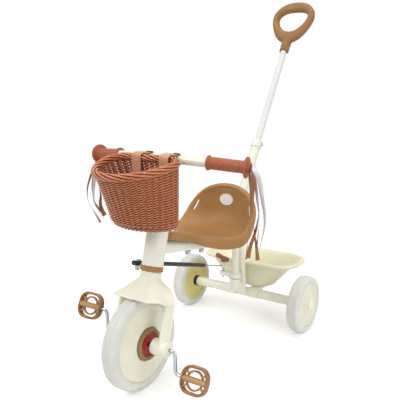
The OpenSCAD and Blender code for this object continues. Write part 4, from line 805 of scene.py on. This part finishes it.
def guardEdge(i):
    r, side = mirroredRow(guardShares, i, fork["turns"])
    return Vector((side * r[0] * fork["guardHalf"], r[1] * (fork["reach"] if r[1] < 0 else fork["guardBack"]),
                   axleUp + r[2] * fork["guardUp"]))


def guardNeck(i):
    a = 2 * pi * i / fork["turns"]
    r = fork["neckR"] - fork["guardT"]
    return Vector(steerPoint(r * sin(a), -r * cos(a), fork["collarUp"] - fork["neckIn"]))


def guardRing(t, drop):
    ring = []
    for i in range(fork["turns"]):
        p = guardNeck(i).lerp(guardEdge(i), t)
        p.z -= drop + fork["flare"] * fork["reach"] * t * (1 - t)
        ring.append(spot(*p))
    return ring


def legRings(line, grows):
    rings = []
    for i, p in enumerate(line):
        t = (line[min(i + 1, len(line) - 1)] - line[max(i - 1, 0)]).normalized()
        back = (Vector((0, 1, 0)) - t * t.y).normalized()
        across = t.cross(back)
        rings.append([spot(*(p + (back * cos(a) * fork["legD"] / 2 + across * sin(a) * fork["legT"] / 2) * grows[i]))
                      for a in circle(fork["legSides"])])
    return rings


def legOval(c, side, grow, up=0):
    return [spot(*(c + Vector((side * sin(b) * fork["legT"] / 2, cos(b) * fork["legD"] / 2, up)) * grow))
            for b in circle(fork["legSides"])]


forkShells = Shells()
rows = fork["rows"]
forkShells.rings([guardRing(j / rows, 0) for j in range(rows, -1, -1)]
                 + [guardRing(j / rows, fork["guardT"]) for j in range(rows + 1)], loop=True)
rise = fork["neckUp"] * cos(steerLean)
for side in (-1, 1):
    knots = [smoothRow(legShares, i / fork["legSteps"]) for i in range(fork["legSteps"] * (len(legShares) - 1) + 1)]
    line = [Vector((side * k[0] * fork["legX"], k[1] * fork["legD"], axleUp + k[2] * rise)) for k in knots]
    forkShells.rings(legRings(line, [k[3] for k in knots]), caps=True)
    # rounded foot under the axle
    foot = [legOval(line[0] - Vector((0, 0, 1)) * sin(a) * fork["legD"] * 0.5, side, cos(a))
            for a in [radians(i) for i in (80, 60, 40, 20)]]
    forkShells.rings(foot + [legOval(line[0], side, 1, fork["footUp"])], caps=True)
forkShells.rings(hoops(neckRows, steerSpot, 48), caps=True)
forkPiece = mould(forkShells.make("fork_moulding"), fork["voxel"], fork["soften"])
keep(forkPiece, "steering", "cream_plastic", "creamPlastic", "fork")
print("fork moulded:", len(forkPiece.data.polygons))


# Steering collar: a band with thin lips, and the arm that carries the link
collar = dict(up=175, bore=11.1, armFrom=24, armLen=45, armW=16, armT=5, armEdge=0.8)
collarBand = [(collar["bore"], 0), (27.2, 0), (28.6, 0.4), (29, 1.2), (29, 2), (28.2, 2.4), (28.1, 9.6), (29, 10),
              (29, 10.8), (28.6, 11.6), (27.2, 12), (collar["bore"], 12)]
keep(turned("steering_band", collarBand, lambda a, b, along: steerSpot(a, b, collar["up"] + along)),
     "steering", "caramel_plastic", "caramelPlastic", "steering_collar")
armRings = []
for shrink, up in ((1, 0), (0, collar["armEdge"]), (0, collar["armT"] - collar["armEdge"]), (1, collar["armT"])):
    half = collar["armW"] / 2 - shrink * collar["armEdge"]
    outline = [(-collar["armFrom"], half)] + roundEdge(-collar["armLen"], 0, half, 90, 270, 18)
    outline += [(-collar["armFrom"], -half)]
    armRings.append([steerSpot(x, y, collar["up"] + up) for x, y in outline])
keep(loft("steering_arm", armRings, 40, caps=True), "steering", "cream_plastic", "creamPlastic")


# Grips with a ribbed hold between two flanges
grip = dict(length=bar["grip"], r=14.5, bore=11.1, inner=18, outer=25, flange=6, ribs=9, ribSink=0.35)
ribRows = ((0.1, 0), (0.22, 0.5), (0.5, 0.65), (0.78, 0.5), (0.9, 0))  # share of a rib's length, height


def gripSpot(side):
    def place(a, b, along):
        out, back = barPoint(along, a)
        return steerSpot(side * out, back, bar["up"] + b)
    return place


def gripProfile():
    f, r, bore, end = grip["flange"], grip["r"], grip["bore"], grip["length"]
    rows = [(bore, 0)] + roundEdge(grip["inner"] - f / 2, f / 2, f / 2, -90, 70) + [(r + 0.5, f + 2), (r, f + 4)]
    for i in range(grip["ribs"]):
        for share, lift in ribRows:
            rows.append((r - grip["ribSink"] + lift, mix(f + 9, end - 3 * f - 6, (i + share) / grip["ribs"])))
    rows += [(r, end - 3 * f - 2), (r + 1.2, end - 2.3 * f)]
    rows += roundEdge(grip["outer"] - f / 2, end - 1.5 * f, f / 2, -70, 90)
    return rows + [(r, end - f * 0.8), (r - 2, end), (0.2, end), (0.2, end - 2 * f + 0.1), (bore, end - 2 * f + 0.1)]


for sideName, side in bothSides:
    keep(turned("grip_%s_rubber" % sideName, gripProfile(), gripSpot(side), 64, 42),
         "steering", "grip_rubber", "gripRubber", "grip_" + sideName)
print("grips turned")


# Wheels
frontWheel = dict(r=120, width=42, edge=12, depth=23, groove=4.5, cuts=40, turns=320)
rearWheel = dict(r=85, width=38, edge=9, depth=19, groove=4, cuts=30, turns=240, y=510, track=205)
tread = dict(bead=0.6, grooveHalf=1.6, grooveDeep=0.9, cutDeep=0.8, cutFrom=0.8, cutRun=0.1, shoulder=0.85, middle=8)


def wheelSpot(x, y, z):
    return lambda a, b, along: spot(x + along, y + a, z + b)


def tyreProfile(wheel):
    r, h, edge, g = wheel["r"], wheel["width"] / 2, wheel["edge"], wheel["groove"]
    inner, bead, wide, deep = r - wheel["depth"], tread["bead"], tread["grooveHalf"], tread["grooveDeep"]
    return bothWays([(inner, h - bead), (inner + bead, h)] + roundEdge(r - edge, h - edge, edge, 90, 8, 9)
                    + [(r, g + wide), (r - deep, g + deep), (r - deep, g - deep), (r, g - wide)])


# shallow cuts cross the shoulders of the tread
def treadCuts(wheel):
    def shape(q, along, a):
        if q < wheel["r"] - wheel["edge"] * tread["shoulder"] or abs(along) < tread["middle"]:
            return 0
        wave = cos(a * wheel["cuts"] + (pi if along > 0 else 0))
        return -tread["cutDeep"] * max(0, min(1, (wave - tread["cutFrom"]) / tread["cutRun"]))
    return shape


def keepTyre(name, wheel, place, body, stands):
    keep(turned(name, tyreProfile(wheel), place, wheel["turns"], 50, treadCuts(wheel)),
         body, "white_tyre", "foamTyre", stands)


frontPlace = wheelSpot(0, 0, axleUp)
keepTyre("front_tyre_foam", frontWheel, frontPlace, "front_wheel", "front_tyre")

# disc with a raised lip round the hub and a stepped ring near the tyre
discHalf = [(4.6, 22), (40.6, 22), (41.2, 22.2), (41.8, 24.6), (42.8, 25.4), (44.4, 25.4), (45.6, 24.4), (46.6, 22),
            (48.4, 20.4), (51, 19.6), (58, 18.8), (66, 18.2), (74, 17.9), (81, 17.9), (84, 18.1), (85, 18.6),
            (86.4, 18.9), (91, 18.9), (93.6, 19.2), (95.4, 18.6), (96.9, 17)]
keep(turned("front_disc_moulding", bothWays(discHalf), frontPlace, 128, 60),
     "front_wheel", "wheel_plastic", "discPlastic", "front_disc")

hubRing = [(30.5, 22.1), (40, 22.1), (40, 30.4), (39.4, 31.6), (38.2, 32.1), (33.2, 32.1), (31.6, 31.4), (30.5, 29.8)]
# the hub ring wears painted shade: caramel plastic darkened as the shaded recess wall
keep(turned("hub_ring_moulding", hubRing, frontPlace), "front_wheel", "caramel_plastic", "hubShadedPlastic", "hub_ring")

clutch = [(4.56, 22.1), (29.2, 22.1), (30, 22.8), (30, 27), (29.2, 28.1), (26.4, 28.1), (25.4, 27), (24.6, 25.6),
          (16, 25.6), (15, 27.2), (14, 28.1), (8, 28.1), (7, 26.4), (4.56, 26.4)]
keep(turned("clutch_disc_moulding", clutch, frontPlace), "clutch", "red_plastic", "redPlastic", "clutch_disc")

rearHalf = [(6.06, 19), (21, 19), (23, 18.6), (24, 17.4), (25.6, 12.4), (28, 10.8), (34, 10.2), (46, 10), (55, 10.4),
            (58, 11.6), (60.4, 15.4), (62, 16.8), (64.4, 17), (65.9, 15.8)]
for sideName, side in bothSides:
    middle = side * rearWheel["track"]
    place = wheelSpot(middle, rearWheel["y"], rearWheel["r"])
    body = "%s_rear_wheel" % sideName
    keepTyre("rear_tyre_%s_foam" % sideName, rearWheel, place, body, "rear_tyre_" + sideName)
    disc = keep(turned("rear_disc_%s_moulding" % sideName, bothWays(rearHalf), place, 112, 60),
                body, "wheel_plastic", "discPlastic", "rear_disc_" + sideName)
    # the inner face gets a yellower copy of the disc plastic: painted shade and yellow bounce light in its recess
    disc.data.materials.append(finishes["discBounceShade"])
    for face in disc.data.polygons:
        face.material_index = 1 if side * (face.center.x - middle * mm) < 0 else 0
print("wheels turned")


# Pedals: a rounded frame, a ring, a spindle barrel and four struts
pedal = dict(w=75, d=68, t=16, corner=27, frame=6.5, ringR=24, bar=4, barrel=7.7, bore=4.56, tilt=66, inner=124,
             crank=58)


def makePedal(sideName, side):
    p = pedal
    tilt = radians(p["tilt"])
    z0 = axleUp - side * p["crank"]

    def place(x, y, z):
        return spot(side * (p["inner"] + p["w"] / 2 + x), y * cos(tilt) - z * sin(tilt),
                    z0 + y * sin(tilt) + z * cos(tilt))

    shells = Shells()
    h, f, half, thin = p["t"] / 2, p["frame"], p["bar"] / 2, p["t"] / 4
    section = bothWays([(0, h - 4), (0.1, h - 2), (0.9, h - 0.5), (2.2, h), (f - 2, h), (f - 0.8, h - 0.5),
                        (f, h - 2.2)])
    shells.rings([[place(x, y, z) for x, y in roundRect(p["w"] - 2 * inset, p["d"] - 2 * inset, p["corner"] - inset)]
                  for inset, z in section], loop=True)
    outer, inner = p["ringR"], p["ringR"] - p["bar"]
    ring = bothWays([(outer, thin - 1), (outer - 1, thin), (inner + 1, thin), (inner, thin - 1)])
    shells.rings(hoops(ring, place, 56), loop=True)
    # barrel round the spindle, open where the crank goes in
    low, high, deep = 0.4 - p["w"] / 2, p["w"] / 2 - 4, p["w"] / 2 - 2 * f + 0.5
    barrel = [(p["bore"], low), (p["barrel"] - 1, low), (p["barrel"], low + 1), (p["barrel"], high), (0.3, high),
              (0.3, deep), (p["bore"], deep)]
    shells.rings(hoops(barrel, lambda a, b, along: place(along, a, b), 40), loop=True)
    # four short struts from the ring to the corners
    strut = bothWays([(half, thin - 1), (half - 1, thin), (1 - half, thin), (-half, thin - 1)])
    corner = (p["w"] / 2 - p["corner"], p["d"] / 2 - p["corner"])
    reach = hypot(*corner) + p["corner"] - f / 2
    for a, b in ((-1, -1), (-1, 1), (1, -1), (1, 1)):
        turn = atan2(b * corner[1], a * corner[0])
        shells.rings([[place(far * cos(turn) - x * sin(turn), far * sin(turn) + x * cos(turn), z) for x, z in strut]
                      for far in (outer - half, reach)], caps=True)
    keep(shells.make("pedal_%s_moulding" % sideName, 38), "%s_pedal" % sideName, "caramel_plastic", "pedalPlastic",
         "pedal_" + sideName)


for sideName, side in bothSides:
    makePedal(sideName, side)
print("pedals made")


# Push handle: a loop that flows into its neck
handle = dict(w=145, h=185, t=28, neckR=15, end=571, flange=6, scoop=8, scoopFrom=0.25, scoopPower=1.2,
              turns=96, sides=24, voxel=2.0, soften=8)
handleShares = [[0.00, 0.900, 0.098], [0.30, 0.892, 0.094], [0.56, 0.855, 0.082], [0.77, 0.780, 0.068],
                [0.85, 0.690, 0.062], [0.82, 0.590, 0.062], [0.69, 0.475, 0.070], [0.48, 0.365, 0.090],
                [0.24, 0.300, 0.108], [0.00, 0.280, 0.115]]
handleNeck = [(15, None), (15, 8), (15.2, 20), (16.5, 32), (19, 44), (17, 54)]  # none: the socket's mouth


def handleRow(k):
    r, side = mirroredRow(handleShares, k % handle["turns"], handle["turns"])
    return side * r[0] * handle["w"] / 2, r[1] * handle["h"], r[2] * handle["h"]


handleShells = Shells()
loop = []
for k in range(handle["turns"]):
    a, c, b = handleRow(k - 1), handleRow(k), handleRow(k + 1)
    n = hypot(b[0] - a[0], b[1] - a[1])
    nx, nz = (a[1] - b[1]) / n, (b[0] - a[0]) / n
    loop.append([poleSpot(c[0] + nx * c[2] * cos(q), handle["t"] / 2 * sin(q),
                          handle["end"] + c[1] + nz * c[2] * cos(q)) for q in circle(handle["sides"])])
handleShells.rings(loop, loop=True)
neckRings = []
for r, up in handleNeck:
    ring = []
    for a in circle(48):
        # the socket's mouth is scooped at the front and the back
        scoop = handle["scoop"] * max(0, abs(sin(a)) - handle["scoopFrom"]) ** handle["scoopPower"]
        along = handle["end"] + (scoop - handle["flange"] if up is None else up)
        ring.append(poleSpot(r * cos(a), min(r, handle["neckR"]) * sin(a), along))
    neckRings.append(ring)
handleShells.rings(neckRings, caps=True)
handlePiece = mould(handleShells.make("push_handle_moulding"), handle["voxel"], handle["soften"])
keep(handlePiece, "upper_pole", "caramel_plastic", "handlePlastic", "push_handle")
print("handle moulded:", len(handlePiece.data.polygons))


# Link's thin rod and the moulded eye on its end
linkEnd = dict(x=-45, y=455, up=186.5, start=278, middle=340, end=414.5, wire=1.8, tip=1.2, eyeZ=181.91, eyeR=8,
               eyeH=16, eyeEdge=1.5, bore=3.56)
wireRows = [(linkEnd["tip"], linkEnd["start"])]
wireRows += [(linkEnd["wire"], along) for along in (linkEnd["start"] + 1, linkEnd["middle"], linkEnd["end"])]
wireRings = hoops(wireRows, lambda a, b, along: steerSpot(linkEnd["x"] + a, along, linkEnd["up"] + b), 16)
keep(loft("link_wire", wireRings, 40, caps=True), "link", "steel", "zinc", "link_rod")
half, edge = linkEnd["eyeH"] / 2, linkEnd["eyeEdge"]
eyeLine = bothWays([(linkEnd["bore"], half)] + roundEdge(linkEnd["eyeR"] - edge, half - edge, edge, 90, 0, 4))
keep(turned("link_eye_moulding", eyeLine,
            lambda a, b, along: spot(linkEnd["x"] + a, linkEnd["y"] + b, linkEnd["eyeZ"] + along), 40),
     "link", "steel", "creamPlastic")


# Lock knob, a T with rounded ends
knob = dict(y=455, x=-45, base=190.41, r=7.5, edge=3, waist=0.7, length=48, shift=3.5, stemH=8, turn=10, slant=10)
knobMiddle = spot(knob["x"], knob["y"], knob["base"] + knob["stemH"] + knob["r"] / 2)
knobTurn = Matrix.Rotation(radians(-knob["turn"]), 3, "Z") @ Matrix.Rotation(radians(knob["slant"]), 3, "Y")
half, r, edge = knob["length"] / 2, knob["r"], knob["edge"]
knobBar = bothWays([(0.2, half)] + roundEdge(r - edge, half - edge, edge, 90, 0, 5)
                   + [(r, half / 2.4), (r - knob["waist"], half / 3)])
keep(turned("lock_knob_bar", knobBar,
            lambda a, b, along: knobMiddle + knobTurn @ Vector((along - knob["shift"], a, b)) * mm, 48),
     "lock", "knob_plastic", "knobPlastic", "lock_knob")
knobStem = [(3.6, 0), (5.4, 0), (6.2, 0.8), (6.2, 6), (7.4, 8), (3.6, 8)]
keep(turned("lock_knob_stem", knobStem,
            lambda a, b, along: spot(knob["x"] + a, knob["y"] + b, knob["base"] + along), 40),
     "lock", "knob_plastic", "knobPlastic")


# Bucket behind the rear axle
bucket = dict(floorZ=104, rimZ=189, floorHalf=78, half=150, front=2, d=126, floorD=92, setShare=0.12, corner=44)
# from the underside round the rim and down inside: share of height, out, up
bucketLine = [(0, -9, 0), (0, -5, 0.1), (0, -2.2, 0.9), (0, -0.6, 2.4), (0.06, 0, 0), (0.3, 0, 0), (0.6, 0, 0),
              (0.86, 0, 0), (1, 0.2, -7), (1, 0.9, -4.6), (1, 2.4, -3.4), (1, 9.6, -3.2), (1, 11, -4),
              (1, 11.4, -5.4), (1, 11.5, -8.4), (1, 12, -9), (1, 13.4, -9), (1, 14, -8.4), (1, 14, -3),
              (1, 13.2, -1.1), (1, 11.4, -0.1), (1, 9, 0), (1, 3, 0), (1, 0.4, -0.3), (1, -1.6, -1.5),
              (1, -2.8, -3.6), (0.9, -3, 0), (0.6, -3, 0), (0.3, -3, 0), (0.1, -3, 0), (0, -3.6, 5.4), (0, -5.2, 3.7),
              (0, -8, 3.05), (0, -12, 3)]


def bucketRing(h, out, up):
    b = bucket
    floorFront = b["front"] + (b["d"] - b["floorD"]) * b["setShare"]
    width = 2 * (mix(b["floorHalf"], b["half"], h) + out)
    depth = mix(b["floorD"], b["d"], h) + 2 * out
    y0 = rearWheel["y"] + mix(floorFront, b["front"], h) - out + depth / 2
    z = mix(b["floorZ"], b["rimZ"], h) + up
    return [spot(x, y0 + y, z) for x, y in roundRect(width, depth, b["corner"] + out, 10)]


bucketPiece = loft("bucket_moulding", [bucketRing(*row) for row in bucketLine], 55, caps=True)
keep(bucketPiece, "tipping_bucket", "cream_plastic", "bucketPlastic", "bucket")
print("bucket moulded")


# Floor, backdrop and light
ground = dict(half=14, lift=0.3, fadeFrom=0.55, fadeTo=1.35, far=0.45)  # metres; far is its level as a light
room = dict(light=0.55, white=1.0)  # on the object, and behind it
lamps = {
    "key": dict(place=(-1.2, -2.2, 2.6), size=1.8, power=42),
    "fill": dict(place=(2.4, -0.6, 1.3), size=2.0, power=22),
    "top": dict(place=(0.2, 0.4, 4.6), size=3.8, power=68),
}
lampAim = Vector((0, 0, 0.4))


# one where any of these rays looks
def seenBy(tree, *rays):
    path = addNode(tree, "LightPath")
    seen = path.outputs[rays[0]]
    for ray in rays[1:]:
        seen = addNode(tree, "Math", {0: seen, 1: path.outputs[ray]}, operation="MAXIMUM").outputs[0]
    return seen


floorFinish = bpy.data.materials.new("paleFloor")
floorFinish.use_nodes = True
tree = floorFinish.node_tree
floorShader = tree.nodes["Principled BSDF"]
plug(tree, floorShader, {"Base Color": (0.9, 0.9, 0.9, 1), "Roughness": 0.9, "Specular IOR Level": 0.1})
seen = seenBy(tree, "Is Camera Ray", "Is Glossy Ray")
lift = addNode(tree, "Math", {0: seen, 1: ground["lift"]}, operation="MULTIPLY")
glow = addNode(tree, "Emission", {"Color": (1, 1, 1, 1), "Strength": lift.outputs[0]})
near = addNode(tree, "AddShader", {0: floorShader.outputs[0], 1: glow.outputs[0]})
# further out the floor turns plain white, and as a light it is no brighter than the room
reach = addNode(tree, "VectorMath", {0: addNode(tree, "TexCoord").outputs["Object"]}, operation="LENGTH")
fade = addNode(tree, "MapRange", {"Value": reach.outputs["Value"], "From Min": ground["fadeFrom"],
                                  "From Max": ground["fadeTo"]}, interpolation_type="SMOOTHSTEP")
level = addNode(tree, "MapRange", {"Value": seen, "To Min": ground["far"]})
blank = addNode(tree, "Emission", {"Strength": level.outputs["Result"]})
outward = addNode(tree, "MixShader", {"Fac": fade.outputs["Result"], 1: near.outputs[0], 2: blank.outputs[0]})
plug(tree, tree.nodes["Material Output"], {"Surface": outward.outputs[0]})
corners = [(x * ground["half"], y * ground["half"], 0) for x, y in ((-1, -1), (1, -1), (1, 1), (-1, 1))]
floorPiece = newPiece("floor", corners, [(0, 1, 2, 3)])
floorPiece.data.materials.append(floorFinish)

world = bpy.data.worlds.new("studio")
scene.world = world
world.use_nodes = True
tree = world.node_tree
seen = seenBy(tree, "Is Camera Ray", "Is Glossy Ray", "Is Transmission Ray")
level = addNode(tree, "MapRange", {"Value": seen, "To Min": room["light"], "To Max": room["white"]})
plug(tree, tree.nodes["Background"], {"Color": (1, 1, 1, 1), "Strength": level.outputs["Result"]})

for name, lamp in lamps.items():
    data = bpy.data.lights.new(name, "AREA")
    data.energy = lamp["power"]
    data.size = lamp["size"]
    light = bpy.data.objects.new(name, data)
    light.location = lamp["place"]
    light.rotation_euler = (lampAim - light.location).to_track_quat("-Z", "Y").to_euler()
    scene.collection.objects.link(light)
scene.view_settings.view_transform = "Standard"
print("studio lit")
